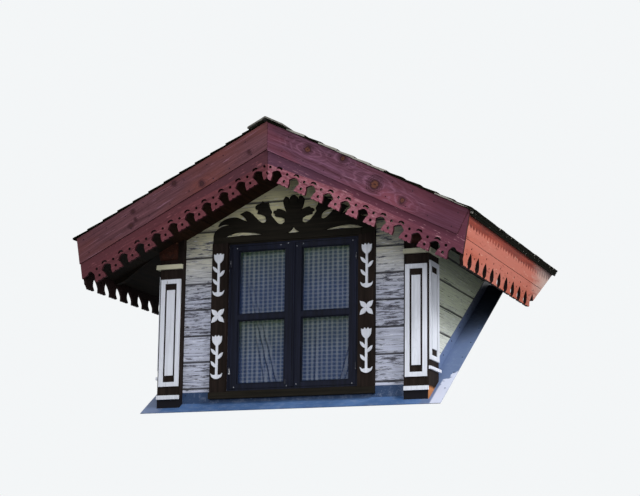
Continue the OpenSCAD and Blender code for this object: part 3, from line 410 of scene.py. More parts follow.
def sheet_metal(name):
    """Coated steel: soft dents, dust, fine scratches; painted shade on the forward faces and near
    black towards the rear under the eave, and a painted sunlit patch on the right flange
    """
    f = Finish(name, 0.5, shine=0.2)
    where, x = f.place(), f.at(0)
    broad = f.noise(where, 3.0, 4)
    dust = f.noise(f.place(stretch=(9, 9, 9)), 2.6, 8, 0.7)
    scratch = f.noise(f.place(INWARD, (4, 120, 120)), 1.0, 3)
    tone = f.mix(f.ramp(broad, (0.35, 0.0), (0.65, 1.0)), (60, 90, 134), (84, 116, 164))
    side = f.above(f.sum("ABSOLUTE", x), 0.952, 0.956)
    tone = f.mix(side, tone, (98, 116, 152))
    # Painted shade: faces that look forward, under the sill, are darkened
    shaded = f.above(f.facing(1), -0.8, -0.9)
    tone = f.mix(f.times(shaded, 0.78), tone, (26, 41, 66))
    tone = f.mix(f.ramp(dust, (0.50, 0.0), (0.75, 0.45)), tone, (146, 158, 180))
    tone = f.mix(f.ramp(scratch, (0.30, 0.35), (0.36, 0.0)), tone, (150, 166, 190))
    # Painted shade: near black towards the rear, under the eave
    y = f.times(dust, 0.12, f.at(1))
    tone = f.mix(f.times(f.above(y, 0.66, 1.12), 0.9), tone, (24, 28, 40))
    # Painted sunlight: a pale patch with a ragged edge on the upward faces of the right flange
    out = f.times(f.above(f.facing(2), 0.5, 0.7), f.above(x, 1.02, 1.03))
    ragged_sun_edge = f.times(f.noise(where, 24, 3), 0.25, y)
    painted_sun = f.times(out, f.above(f.times(x, -1.6, ragged_sun_edge), -1.34, -1.36))
    tone = f.mix(painted_sun, tone, (206, 212, 232))
    f.colour(tone)
    f.gloss(f.ramp(dust, (0.4, 0.38), (0.7, 0.62)))
    f.bump((broad, 0.004), (dust, 0.0003))
    return f.mat


def clear_glass():
    """A clear pane, blue low in each light with a painted reflection of green towards its top"""
    f = Finish("old_window_glass", 0.05, ior=1.45, shine=0.3)
    z = f.at(2)
    up = f.sum("FRACT", f.sum("DIVIDE", f.sum("SUBTRACT", z, PANE_FOOT_Z), PANE_STEP))
    ripple = f.noise(f.place(stretch=(3, 3, 1.4)), 2.0, 3)
    # Painted reflection: the colour goes from blue to green up each light
    painted_reflection = f.times(ripple, 0.3, f.times(up, 0.80))
    f.colour(f.ramp(painted_reflection, (0.42, (30, 54, 98)), (0.74, (40, 56, 60)), (0.92, (60, 80, 40))))
    f.body.inputs["Alpha"].default_value = 0.34
    f.bump((ripple, 0.0006))
    return f.mat


def curtain_cloth():
    """Blue and white checks that follow the cloth, with painted shade and painted highlight on the
    flanks of the folds, and with the weave
    """
    f = Finish("gingham_cotton", 0.9, sheen=0.15, shine=0.1)
    cloth = f.node("UVMap", uv_map="cloth").outputs[0]
    u, v = f.part(cloth, 0), f.part(cloth, 1)

    def band(t, step, share):
        return f.above(f.sum("PINGPONG", t, step / 2), step * (share - 0.06), step * (share + 0.06))
    both = f.times(band(u, CHECK_ACROSS, 0.21), 0.54, f.times(band(v, CHECK_DOWN, 0.18), 0.46))
    tone = f.ramp(both, (0.0, (248, 252, 252)), (0.46, (212, 226, 236)),
                  (0.54, (192, 208, 228)), (1.0, (112, 132, 168)))
    soft = f.noise(f.place(), 7, 3)
    tone = f.mix(f.ramp(soft, (0.35, 0.25), (0.65, 0.0)), tone, (80, 92, 126))
    # Painted shade and highlight from the fold attribute: dark on one flank of each fold and at the
    # left curtain's outer hem, pale on the other flank
    turned = f.part(f.place(attribute="fold"), 0)
    tone = f.mix(f.ramp(turned, (0.56, 0.0), (0.95, 0.85)), tone, (34, 40, 58))
    tone = f.mix(f.ramp(turned, (0.05, 0.55), (0.42, 0.0)), tone, (232, 240, 246))
    f.colour(tone)
    weave = f.sum("ADD", f.sum("SINE", f.times(u, THREADS)), f.sum("SINE", f.times(v, THREADS)))
    f.bump((weave, 0.0001))
    return f.mat


def plain_floor():
    """Pale and even to the eye, but dull to the light that it throws back up under the eaves"""
    f = Finish("studio_floor", 0.9, shine=0.1)
    broad = f.noise(f.place(), 0.8, 2)
    pale = f.ramp(broad, (0.3, (88, 90, 92)), (0.7, (94, 96, 98)))
    seen = f.seen()
    f.colour(f.mix(seen, (120, 122, 126), pale))
    f.put(f.body.inputs["Emission Color"], f.mix(seen, (0, 0, 0), (212, 215, 218)))
    f.body.inputs["Emission Strength"].default_value = 1.0
    return f.mat


JOINT_Z = 1.656
SHADE_LINE_Z = 1.012
WALL_BOARD = 0.186
FIRST_JOINT_Z = 0.114
PANE_FOOT_Z = 0.146
PANE_STEP = 0.4885
CHECK_ACROSS = 0.038
CHECK_DOWN = 0.027
THREADS = 4800
RIGHT_BURGUNDY = ((114, 76, 98), (92, 56, 72), (58, 28, 38))
LEFT_BURGUNDY = ((110, 72, 80), (90, 57, 63), (60, 34, 40))
RIGHT_RED = ((162, 96, 108), (132, 74, 86), (92, 46, 56))
LEFT_RED = ((114, 64, 71), (96, 50, 56), (66, 33, 39))
EAVE = ((170, 84, 66), (142, 62, 48), (98, 38, 30))
BROWN = ((46, 37, 33), (33, 26, 23), (19, 15, 13))
CREST = ((42, 38, 32), (30, 27, 22), (17, 16, 12))
# The plate's and the soffit's tones are brown stain, darkened further as painted shade under the
# eaves
PLATE = ((74, 40, 28), (54, 28, 20), (32, 17, 13))
SOFFIT = ((54, 32, 20), (36, 21, 12), (18, 11, 7))
WHITE = ((228, 232, 242), (219, 223, 233), (200, 203, 212))
NAVY = ((32, 35, 52), (23, 26, 39), (14, 16, 25))
RAW = ((196, 160, 116), (172, 134, 92), (132, 96, 62))
OLD_SHINGLE = ((150, 148, 140), (106, 104, 98), (52, 50, 46))

# Knots at (x, z, radius)
RIGHT_KNOTS = ((0.306, 1.632, 0.026), (0.558, 1.547, 0.024), (0.784, 1.351, 0.036),
               (0.975, 1.226, 0.021))
LEFT_KNOTS = ((-0.995, 1.300, 0.014), (-0.973, 1.242, 0.012), (-1.006, 1.200, 0.017),
              (-0.474, 1.460, 0.018), (-0.124, 1.651, 0.014), (-0.684, 1.476, 0.016))

MATERIALS = {
    "sole_timbers": stained_wood("sole_softwood", RAW, INWARD),
    "front_wall": stained_wood("stud_softwood", RAW, UPRIGHT),
    "cheek_wall_left": stained_wood("cheek_stud_softwood", RAW, UPRIGHT),
    "rafters": stained_wood("rafter_softwood", RAW, SLOPE[1]),
    "ridge_beam": stained_wood("ridge_softwood", RAW, INWARD),
    "roof_deck_left": stained_wood("deck_softwood", RAW, INWARD),
    "front_boards": wall_paint("front_wall_paint", (214, 208, 164), (204, 209, 228),
                               LEVEL, 0.84, 1.30, 1.14, 0.10),
    "cheek_boards_left": wall_paint("cheek_wall_paint", (196, 204, 176), (226, 230, 222),
                                    INWARD, 0.45, 0.85, 0.0, 0.13),
    "wall_plate_left": stained_wood("plate_stain", PLATE, INWARD, wear=(128, 92, 70),
                                    wear_share=0.3),
    "soffit_left": soffit_stain(),
    "shingles_left": stained_wood("shingle_body", OLD_SHINGLE, SLOPE[1]),
    "ridge_cap": stained_wood("ridge_board_wood", OLD_SHINGLE, INWARD, wear=(184, 182, 172),
                              wear_share=0.4, depth=0.003),
    "bargeboard_right": burgundy_board("right_burgundy", 1, RIGHT_BURGUNDY, RIGHT_KNOTS,
                                       (118, 62, 74), (150, 104, 128), (96, 58, 44)),
    "bargeboard_left": burgundy_board("left_burgundy", -1, LEFT_BURGUNDY, LEFT_KNOTS,
                                      (104, 58, 54), (66, 36, 42), (60, 34, 34)),
    # After the tones: the painted shadow's tone near the apex, the outer tone (also the painted
    # shadow's tone further out), worn paint, darkening and fading
    "gable_fret_right": red_fret("right_fret_red", 1, RIGHT_RED, (72, 48, 66), (84, 44, 58),
                                 (186, 136, 146), 0.85, 0.42),
    "gable_fret_left": red_fret("left_fret_red", -1, LEFT_RED, (72, 42, 50), (84, 46, 52),
                                (150, 92, 98), 0.45, 0.12),
    "fascia_left": eave_red("left_eave_red", -1),
    "fascia_right": eave_red("right_eave_red", 1),
    "corner_boards_left": post_stain("post_brown"),
    "casing_left": post_stain("casing_brown", False),
    "crest_board": stained_wood("crest_brown", CREST, LEVEL, shine=0.06),
    "corner_trim_left": trim_white(),
    "casing_ornaments": stained_wood("ornament_white", WHITE, UPRIGHT, depth=0.0004),
    "window_frame": stained_wood("frame_navy", NAVY, UPRIGHT, rough=0.5, wear=(66, 68, 84),
                                 wear_share=0.05, depth=0.0006, shine=0.08),
    "window_hinges": stained_wood("hinge_navy", NAVY, UPRIGHT, rough=0.45,
                                  wear=(216, 220, 228), wear_share=0.7, depth=0.0002,
                                  shine=0.2),
    "window_glass": clear_glass(),
    "curtain_rod": stained_wood("rod_white", WHITE, LEVEL, rough=0.4, depth=0.0001),
    "curtains": curtain_cloth(),
    "apron_flashing": sheet_metal("blue_sheet"),
}
SAME = {
    "eave_fret_left": "fascia_left", "eave_fret_right": "fascia_right",
    "window_sill": "crest_board", "sash_left": "window_frame", "sash_right": "window_frame",
    "side_flashing_left": "apron_flashing", "side_flashing_right": "apron_flashing",
}


def dress_nodes():
    """Every node gets its own material, or that of the node or the side that looks the same"""
    for name in NODES:
        obj = bpy.data.objects[name]
        mat = MATERIALS.get(name) or MATERIALS[SAME.get(name, name.replace("_right", "_left"))]
        for slot in obj.material_slots:
            slot.material = mat
        if not obj.material_slots:
            obj.data.materials.append(mat)


# ---- modelling helpers
def mode(name):
    bpy.ops.object.mode_set(mode=name)


def clear_selection():
    if bpy.context.object and bpy.context.object.mode != "OBJECT":
        mode("OBJECT")
    bpy.ops.object.select_all(action="DESELECT")


def block(name, low, high, bevel=0.0, segments=1):
    """A board or bar between two corners, with its edges eased"""
    clear_selection()
    low, high = Vector(low), Vector(high)
    bpy.ops.mesh.primitive_cube_add(size=1, location=(low + high) / 2, scale=high - low)
    obj = bpy.context.object
    obj.name = name
    bpy.ops.object.transform_apply(location=True, rotation=True, scale=True)
    if bevel:
        mode("EDIT")
        bpy.ops.mesh.select_all(action="SELECT")
        bpy.ops.mesh.bevel(offset=bevel, segments=segments, affect="EDGES")
        mode("OBJECT")
    return obj


def copy_mesh(model, name, how):
    """A copy with its own mesh, whose points are moved by the given function"""
    mesh = model.data.copy()
    for v in mesh.vertices:
        v.co = how(v.co)
    obj = bpy.data.objects.new(name, mesh)
    bpy.context.scene.collection.objects.link(obj)
    return obj


def pick(*pieces):
    """Select these pieces and nothing else, with the first one active"""
    clear_selection()
    for p in pieces:
        p.select_set(True)
    bpy.context.view_layer.objects.active = pieces[0]


def gather(pieces):
    """Join the pieces into one object"""
    pick(*pieces)
    bpy.ops.object.join()
    return bpy.context.object


def ease_edges(obj, wanted, offset, segments=1):
    """Bevel the edges of the active piece whose two ends pass a test"""
    for e in obj.data.edges:
        e.select = all(wanted(obj.data.vertices[i].co) for i in e.vertices)
    for group in (obj.data.vertices, obj.data.polygons):
        for item in group:
            item.select = False
    mode("EDIT")
    bpy.ops.mesh.select_mode(type="EDGE")
    bpy.ops.mesh.bevel(offset=offset, segments=segments, affect="EDGES")
    bpy.ops.mesh.select_all(action="DESELECT")
    mode("OBJECT")


def turn_inside_out(obj):
    """A mirrored piece has its faces turned to the outside again"""
    pick(obj)
    mode("EDIT")
    bpy.ops.mesh.select_all(action="SELECT")
    bpy.ops.mesh.flip_normals()
    mode("OBJECT")


def join(pieces, name, mat):
    """Make the pieces one finished object of the rigid body, with its material and slot"""
    obj = gather(pieces)
    obj.name = name
    obj.data.name = name
    obj.data.materials.clear()
    obj.data.materials.append(mat)
    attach(obj, "root")
    return obj


def remove(obj):
    bpy.data.objects.remove(obj, do_unlink=True)


# ---- shingles
EXPOSURE = 0.130
LENGTH = 0.390
WIDTHS = (0.070, 0.125)
FIRST_WIDTHS = (0.066, 0.075)
FIRST_SHIFT = 0.036
HEAD = 0.004
BUTT_LOW = 0.0335
BUTT_TOP = 0.0485
WORN_THIN = 0.0075
VERGE_Y = BARGE_Y - 0.025
VERGE_TAPER = 0.062
OVER_BOARD = 0.0302
BOARD_SHARE = 0.62


def one_shingle():
    """A wedge of unit width and length: head at y = 0, butt at y = 1, with an eased butt"""
    obj = block("shingle_model", (0, 0, 0), (1, 1, 1))
    ease_edges(obj, lambda co: min(co.y, co.z) > 0.9, 0.06)
    obj.data.attributes.new("grain", "FLOAT_VECTOR", "POINT")
    obj.data.attributes.new("own_tone", "FLOAT_VECTOR", "POINT")
    return obj


class Shingle:
    """One shingle's place on its slope: butt and head are distances from the ridge, full is the
    length of the whole shingle, and low and top are its butt's two heights over the deck"""

    def __init__(self, side, rng, row, butt, full, y, width):
        self.side, self.butt, self.full = side, butt, full
        self.head = max(butt - full, 0.0)
        self.y, self.width = y, width
        self.verge = y < VERGE_BACK_Y
        self.gap = rng.uniform(0.0012, 0.0045) * (0.35 if row < 3 else 1)
        self.shift = rng.uniform(-0.009, 0.0) if row > 1 else -0.004
        self.lift = rng.uniform(-0.0012, 0.0)
        self.skew = rng.uniform(-0.003, 0.003)
        self.seed = [rng.uniform(0, 50) for _ in range(3)]
        self.tone = rng.random()
        # The left slope's verge is worn thin all the way down from the ridge boards
        thin = WORN_THIN * min(max((butt - 0.02) / 0.16, 0.0), 1.0) if side < 0 else 0.0
        self.low, self.top = BUTT_LOW - thin * 0.4, BUTT_TOP - thin
        if row < 2:
            # The two short starter rows under the eave
            self.low, self.top = self.low * row / 2, self.top * (row + 1) / 3

    def lay(self, model, y0, y1, over_board=False):
        """The part of it between two places along the eave, cut away where it passes over the
        bargeboard"""
        start = 0.0
        if over_board:
            start = max(1 - (1 - BOARD_SHARE) * self.full / (self.butt - self.head), 0.0)

        def settle(co):
            s = self.head + (self.butt + self.shift - self.head) * (start + (1 - start) * co.y)
            k = (s - (self.butt - self.full)) / self.full
            n_low = self.low * k
            n_top = HEAD + (self.top - HEAD) * k + self.lift * k
            if self.verge:
                n_top = self.top - (1 - k) * VERGE_TAPER * self.full
            if over_board:
                n_low = max(n_low, OVER_BOARD)
                n_top = max(n_top, OVER_BOARD + 0.0006)
            n = n_low + (n_top - n_low) * co.z
            across = y0 + (y1 - y0) * co.x + self.skew * co.y * (co.x - 0.5)
            x = s * RUN + n * FALL
            z = DECK_TOP - s * FALL + n * RUN
            return Vector((self.side * x, across, z))
        piece = copy_mesh(model, "shingle", settle)
        for i, v in enumerate(model.data.vertices):
            along = start + (1 - start) * v.co.y
            piece.data.attributes["grain"].data[i].vector = (
                self.seed[0] + y0 - self.y + (y1 - y0) * v.co.x, self.seed[1] + self.full * along,
                self.seed[2] + 0.016 * v.co.z)
            piece.data.attributes["own_tone"].data[i].vector = (self.tone, 0, 0)
        return piece


def lay_shingles(side, name, mat):
    """The courses of one slope, from the eave up; each row's first shingle lies over the board"""
    rng = random.Random(41 + side)
    model = one_shingle()
    slope_end = (EAVE_X - 0.0006 - BUTT_TOP * FALL) / RUN
    pieces = []
    rows = [(slope_end, EXPOSURE), (slope_end, 2 * EXPOSURE)]
    rows += [(slope_end - i * EXPOSURE, LENGTH) for i in range(int(slope_end / EXPOSURE) + 1)]
    for row, (butt, full) in enumerate(rows):
        if butt < 0.05:
            continue
        # The plane of the seat cuts the row at its rear end
        z_row = DECK_TOP - butt * FALL + 0.02
        rear = (z_row - BASE_RISE) / SEAT_RISE
        y = VERGE_Y + rng.uniform(0.0018, 0.006)
        first = True
        while y < rear - 0.02:
            if first:
                width = rng.uniform(*FIRST_WIDTHS) + FIRST_SHIFT * (row % 2)
            else:
                width = rng.uniform(*WIDTHS)
            if rear - y - width < 0.035:
                width = rear - y
            one = Shingle(side, rng, row, butt, full, y, width)
            if first:
                pieces.append(one.lay(model, y, VERGE_BACK_Y + 0.001, True))
                pieces.append(one.lay(model, VERGE_BACK_Y + 0.001, y + width - one.gap))
            else:
                pieces.append(one.lay(model, y, y + width - one.gap))
            first = False
            y += width
    remove(model)
    obj = join(pieces, name, mat)
    if side < 0:
        turn_inside_out(obj)
    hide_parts("shingles_right" if side > 0 else "shingles_left")


# ---- eave fretwork
# The foot of the board's outer face at (x, z), its lean, its height, its front end, and the rise
# over the seat at which its rear end is cut
SAWN_FOOT = (1.370, 0.784)
SAWN_LEAN = math.radians(9.6)
SAWN_HEIGHT = 0.172
SAWN_START = -0.5427
SAWN_REAR_RISE = 0.06596
OPENINGS = 10
OPENING_FIRST = 0.145
OPENING_STEP = 0.170
OPENING_HALF = 0.045
OPENING_TOP = 0.104
OPENING_FOOT = -0.012
# A round hole over each opening and one between two, at (height, radius); notches beside the tip
OVER_HOLE = (0.130, 0.007)
BETWEEN_HOLE = (0.080, 0.007)
NOTCH = (-0.001, 0.006)
NOTCH_STEP = 0.0187
# The front corner that is sawn off, at (distance from the end, height)
CORNER = {(0, 0): (-0.001, -0.001), (1, 0): (0.026, -0.001), (0, 1): (-0.001, 0.034),
          (1, 1): (0.012, 0.024)}
# Share of the opening's height and of its half width, from the mouth up
OPENING_SHAPE = ((0.24, 0.88), (0.38, 1.0), (0.56, 0.90), (0.75, 0.60), (0.90, 0.26), (1.0, 0.0))


def opening_width(share, mouth):
    """Half width of an opening at a share of its height, from half the width of its mouth"""
    low, half = 0.11, mouth
    for high, part in OPENING_SHAPE:
        wide = part * OPENING_HALF
        if share < high:
            return half + (wide - half) * max((share - low) / (high - low), 0.0)
        low, half = high, wide
    return 0.0


def saw_eave_board(side, mouth, thick):
    """The eave board with its row of openings, holes and notches sawn through. It is shaped lying
    in its own plane (x into the board, y along, z up), then leant and moved to its side"""
    clear_selection()
    bpy.ops.mesh.primitive_cylinder_add(vertices=24, radius=1, depth=1)
    saw = bpy.context.object

    def through(u, v, co):
        return Vector((-thick / 2 + co.z * (thick + 0.02), u, v))

    def opening(y):
        def shape(co):
            share = (co.y + 1) / 2
            half = opening_width(share, mouth) if abs(co.x) > 0.01 else 0.0
            v = OPENING_FOOT + share * (OPENING_TOP - OPENING_FOOT)
            return through(y + math.copysign(half, co.x), v, co)
        return copy_mesh(saw, "opening", shape)

    def hole(y, v, r):
        return copy_mesh(saw, "hole", lambda co: through(y + r * co.x, v + r * co.y, co))
    cuts = []
    for i in range(OPENINGS):
        y = SAWN_START + OPENING_FIRST + i * OPENING_STEP
        between = y - OPENING_STEP / 2
        cuts += [opening(y), hole(y, *OVER_HOLE), hole(between, *BETWEEN_HOLE)]
        cuts += [hole(between + k * NOTCH_STEP, *NOTCH) for k in (-1, 1)]
    corner = block("corner", (0, 0, 0), (1, 1, 1))
    for v in corner.data.vertices:
        y, z = CORNER[(round(v.co.y), round(v.co.z))]
        v.co = (-thick - 0.01 + v.co.x * (thick + 0.02), SAWN_START + y, z)
    remove(saw)
    cutter = gather(cuts + [corner])
    board = block("eave_board", (-thick, SAWN_START, 0), (0, SAWN_START + 1, SAWN_HEIGHT))
    sine, cosine = math.sin(SAWN_LEAN), math.cos(SAWN_LEAN)
    for v in board.data.vertices:
        if v.co.y > SAWN_START + 0.5:
            z = SAWN_FOOT[1] - v.co.x * sine + v.co.z * cosine
            v.co.y = (z - SAWN_REAR_RISE) / SEAT_RISE
    pick(board)
    cut = board.modifiers.new("sawn", "BOOLEAN")
    cut.operation, cut.solver, cut.object = "DIFFERENCE", "EXACT", cutter
    bpy.ops.object.modifier_apply(modifier=cut.name)
    remove(cutter)
    for v in board.data.vertices:
        x = SAWN_FOOT[0] + v.co.x * cosine + v.co.z * sine
        z = SAWN_FOOT[1] - v.co.x * sine + v.co.z * cosine
        v.co = (side * x, v.co.y, z)
    if side < 0:
        turn_inside_out(board)
    where = "right" if side > 0 else "left"
    obj = join([board], "sawn_eave_board_" + where, MATERIALS["fascia_" + where])
    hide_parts("eave_fret_" + where)


# ---- curtains
# The inner edge's x, the hem's z and the rod's z
CURTAIN = (0.008, 0.118, 1.106)
CURTAIN_Y = 0.020
CLOTH_THICK = 0.0008
HEM_FROM = 0.955


def fold_depth(u, w, waves, drags):
    """How far the cloth stands forward: upright waves, and long folds that drag to one side"""
    depth = sum(a * math.sin(math.tau * n * (u + 0.015 * math.sin(3 * w + ph)) + ph)
                for n, ph, a in waves)
    depth *= 1 - 0.45 * w
    for foot, lean, reach, size in drags:
        off = (u - foot - lean * w) / 0.022
        depth += size * math.exp(-off * off) * max(0.0, 1 - w / reach)
    return depth


def hang_curtain(side, x1, mat, drags):
    """A lightly gathered curtain out to x1; the checks follow the cloth over its folds"""
    rng = random.Random(7 + side)
    clear_selection()
    bpy.ops.mesh.primitive_grid_add(x_subdivisions=200, y_subdivisions=60, size=1)
    obj = bpy.context.object
    obj.name = "curtain_left" if side < 0 else "curtain_right"
    mesh = obj.data
    layer = mesh.uv_layers[0] if mesh.uv_layers else mesh.uv_layers.new(name="cloth")
    layer.name = "cloth"
    x0, z0, z1 = CURTAIN
    turned = mesh.attributes.new("fold", "FLOAT_VECTOR", "POINT")
    # Waves at (count, start, size)
    waves = [(rng.uniform(5, 7), rng.uniform(0, 6.28), 0.0040),
             (rng.uniform(11, 15), rng.uniform(0, 6.28), 0.0022),
             (rng.uniform(2, 3), rng.uniform(0, 6.28), 0.0035)]
    # The length along the folds at every half per cent of the width gives the flat cloth
    steps = 400
    run = [0.0]
    for i in range(steps):
        rise = fold_depth((i + 1) / steps, 0.3, waves, ()) - fold_depth(i / steps, 0.3, waves, ())
        run.append(run[-1] + math.hypot((x1 - x0) / steps, rise))
    flat = {}
    for v in mesh.vertices:
        u, w = v.co.x + 0.5, v.co.y + 0.5
        flat[v.index] = (run[round(u * steps)], w * (z1 - z0))
        across = u if side > 0 else 1 - u
        forward = fold_depth(across, w, waves, drags)
        # Painted shade and highlight for the cloth: over 0.5 darkens the flank of a fold that faces
        # away from the key lamp, under 0.5 lightens the other flank
        rise = side * (fold_depth(across + 0.004, w, (), drags)
                       - fold_depth(across - 0.004, w, (), drags))
        shade = 0.5 + 0.5 * rise / (0.008 * (x1 - x0))
        # The left curtain's outer hem is all painted shade
        if side < 0 and across > HEM_FROM:
            shade = 1.0
        turned.data[v.index].vector = (shade, 0, 0)
        v.co = Vector((x0 + (x1 - x0) * u, CURTAIN_Y - forward, z0 + (z1 - z0) * w))
    for loop in mesh.loops:
        layer.data[loop.index].uv = flat[loop.vertex_index]
    if side < 0:
        for v in mesh.vertices:
            v.co.x -= x0 + x1
    pick(obj)
    thick = obj.modifiers.new("thickness", "SOLIDIFY")
    thick.thickness = CLOTH_THICK
    thick.offset = 0
    bpy.ops.object.modifier_apply(modifier="thickness")
    bpy.ops.object.shade_smooth()
    mesh.materials.clear()
    mesh.materials.append(mat)
    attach(obj, "root")
    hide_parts("curtains")


def make_curtains():
    """Both curtains, each with its own dragging folds at (foot, lean, reach, size)"""
    mat = MATERIALS["curtains"]
    left_drags = ((0.62, -0.60, 0.95, 0.018), (0.72, -0.64, 0.95, 0.016), (0.50, -0.48, 0.7, 0.012))
    right_drags = ((0.70, 0.62, 0.42, 0.022), (0.79, 0.56, 0.36, 0.020), (0.30, 0.04, 0.6, 0.012))
    hang_curtain(-1, 0.440, mat, [(1 - f, -l, r, d) for f, l, r, d in left_drags])
    hang_curtain(1, 0.458, mat, right_drags)


# ---- fixings
NAIL_LINE_Z = 1.6561
SHEET_FACE = 0.0032
UPSTAND = 0.050
UPSTAND_X = (0.9555, 0.9578)
UPSTAND_FACE_X = 0.9582
FLANGE_MIDDLE_X = 1.075


def nail_model(radius, height):
    """A domed nail head that faces up"""
    clear_selection()
    bpy.ops.mesh.primitive_cylinder_add(vertices=10, radius=radius, depth=height,
                                        end_fill_type="NGON")
    obj = bpy.context.object
    mode("EDIT")
    bpy.ops.mesh.select_mode(type="FACE")
    bpy.ops.mesh.select_all(action="DESELECT")
    mode("OBJECT")
    for p in obj.data.polygons:
        p.select = p.normal.z > 0.9
    mode("EDIT")
    bpy.ops.mesh.inset(thickness=radius * 0.45, depth=height * 0.5)
    bpy.ops.mesh.select_all(action="DESELECT")
    mode("OBJECT")
    return obj


def set_nails(name, spots, radius, height, mat):
    """Nails at (point, outward direction)"""
    model = nail_model(radius, height)
    pieces = []
    for point, out in spots:
        turn = Vector((0, 0, 1)).rotation_difference(Vector(out)).to_matrix().to_4x4()
        put = Matrix.Translation(Vector(point) + Vector(out).normalized() * height * 0.5) @ turn
        pieces.append(copy_mesh(model, "nail", lambda co, put=put: put @ co))
    remove(model)
    join(pieces, name, mat)


def speckled(name, rough, scale, dark, light):
    """Painted metal, finely mottled between two stops of (share, colour)"""
    f = Finish(name, rough)
    f.colour(f.ramp(f.noise(f.place(), scale, 3), dark, light))
    return f.mat


def bargeboard_nails():
    """Nine pairs of nails along each board, and only those that lie before its end"""
    rng = random.Random(5)
    spots = []
    for side in (-1, 1):
        for i in range(9):
            s = 0.10 + i * 0.17 + rng.uniform(-0.02, 0.02)
            for t in (-0.135 + rng.uniform(-0.01, 0.01), -0.030 + rng.uniform(-0.008, 0.008)):
                x = s * RUN - t * FALL
                z = NAIL_LINE_Z - s * FALL - t * RUN
                if x < 1.38:
                    spots.append(((side * x, BARGE_Y - 0.0002, z), (0, -1, 0)))
    iron = speckled("painted_nail_heads", 0.5, 40, (0.3, (34, 16, 26)),
                    (0.7, (58, 30, 42)))
    set_nails("bargeboard_nails", spots, 0.0042, 0.0016, iron)


def flashing_nails():
    """Nails in the apron beside the sill, in the side upstands and in the side flanges"""
    rng = random.Random(9)
    steel = speckled("flashing_nail_heads", 0.4, 60, (0.3, (30, 40, 62)),
                     (0.7, (66, 84, 116)))
    spots = []
    base_z = FRONT_Y * SEAT_RISE + BASE_LIFT / math.cos(SEAT_PITCH)
    for i in range(9):
        x = -0.80 + i * 0.2 + rng.uniform(-0.02, 0.02)
        if abs(x) < 0.60:
            continue
        z = base_z + 0.062 + rng.uniform(-0.004, 0.004)
        spots.append(((x, FRONT_Y - SHEET_FACE, z), (0, -1, 0)))
    normal = Vector((0, -math.sin(SEAT_PITCH), math.cos(SEAT_PITCH)))
    for side in (-1, 1):
        for i in range(7):
            y = 0.16 + i * 0.19
            z = y * SEAT_RISE + (BASE_LIFT + UPSTAND) / math.cos(SEAT_PITCH)
            spots.append(((side * UPSTAND_FACE_X, y, z), (side, 0, 0)))
            y = 0.02 + i * 0.2
            z = y * SEAT_RISE + BASE_LIFT / math.cos(SEAT_PITCH)
            point = Vector((side * FLANGE_MIDDLE_X, y, z)) + normal * SHEET_FACE
            spots.append((point, normal))
    set_nails("flashing_nails", spots, 0.0055, 0.0018, steel)


def flashing_tails():
    """The upstands of the side flashings run on up under the soffits, cut to a point"""
    foot, start, end = 0.030, 1.4845, 1.610
    pieces = []
    for side in (-1, 1):
        xs = sorted(side * v for v in UPSTAND_X)
        tail = block("tail", (xs[0], start, 0), (xs[1], end, 1))
        for v in tail.data.vertices:
            low = v.co.y * SEAT_RISE + foot
            v.co.z = low if v.co.z < 0.5 else max(low + 0.001, SOFFIT_AT_CHEEK)
        pieces.append(tail)
    join(pieces, "flashing_tails", MATERIALS["apron_flashing"])


def sill_bead():
    """The quarter round on the sill that covers the upstand of the flashing"""
    obj = block("sill_bead", (-WINDOW_SIDE, FRONT_Y - 0.014, SILL_TOP),
                (WINDOW_SIDE, FRONT_Y - 0.003, SILL_TOP + 0.0115))
    ease_edges(obj, lambda co: co.y < FRONT_Y - 0.010 and co.z > SILL_TOP + 0.005, 0.009, 4)
    join([obj], "sill_bead", MATERIALS["crest_board"])


def head_bead():
    """The thin strip under the crest that closes the joint over the window frame"""
    strip = block("head_bead", (-WINDOW_SIDE, FRONT_Y - 0.012, HEAD_Z - 0.008),
                  (WINDOW_SIDE, FRONT_Y - 0.0005, HEAD_Z), 0.0015)
    join([strip], "head_bead", MATERIALS["crest_board"])


def sash_screws():
    """Pale screw heads at the corner irons of the two lights"""
    pale = speckled("pale_screw_heads", 0.5, 90, (0.35, (96, 100, 112)),
                    (0.6, (206, 210, 216)))
    spots = [((x, FRONT_Y - 0.0002, z), (0, -1, 0)) for x, z in (
        (-0.096, 1.109), (-0.040, 1.118), (0.025, 1.093), (0.073, 1.108), (0.440, 1.106),
        (-0.430, 1.104), (-0.040, 0.116), (0.032, 0.126), (0.440, 0.118), (-0.436, 0.120))]
    set_nails("sash_screws", spots, 0.0034, 0.0014, pale)


def turn_button():
    """The small turn button at the meeting stiles, on its rose"""
    rose = block("rose", (-0.058, FRONT_Y - 0.003, 0.128), (-0.045, FRONT_Y, 0.163), 0.0025, 2)
    bar = block("bar", (-0.0555, FRONT_Y - 0.009, 0.134), (-0.0475, FRONT_Y - 0.003, 0.158),
                0.0022, 2)
    join([rose, bar], "turn_button", MATERIALS["window_hinges"])


def glazing_beads():
    """Putty beads round the panes, bevelled towards the glass"""
    wide, back = 0.008, FRONT_Y + 0.018
    front = back - 0.009
    pieces = []
    for side in (-1, 1):
        for z0, z1 in ((0.142, 0.592), (0.630, 1.085)):
            x0, x1 = sorted(side * v for v in (0.0615, 0.417))
            for low, high in (
                ((x0, front, z0), (x0 + wide, back, z1)),
                ((x1 - wide, front, z0), (x1, back, z1)),
                ((x0, front, z0), (x1, back, z0 + wide)),
                ((x0, front, z1 - wide), (x1, back, z1)),
            ):
                pieces.append(block("bead", low, high, 0.003))
    join(pieces, "glazing_beads", MATERIALS["window_frame"])


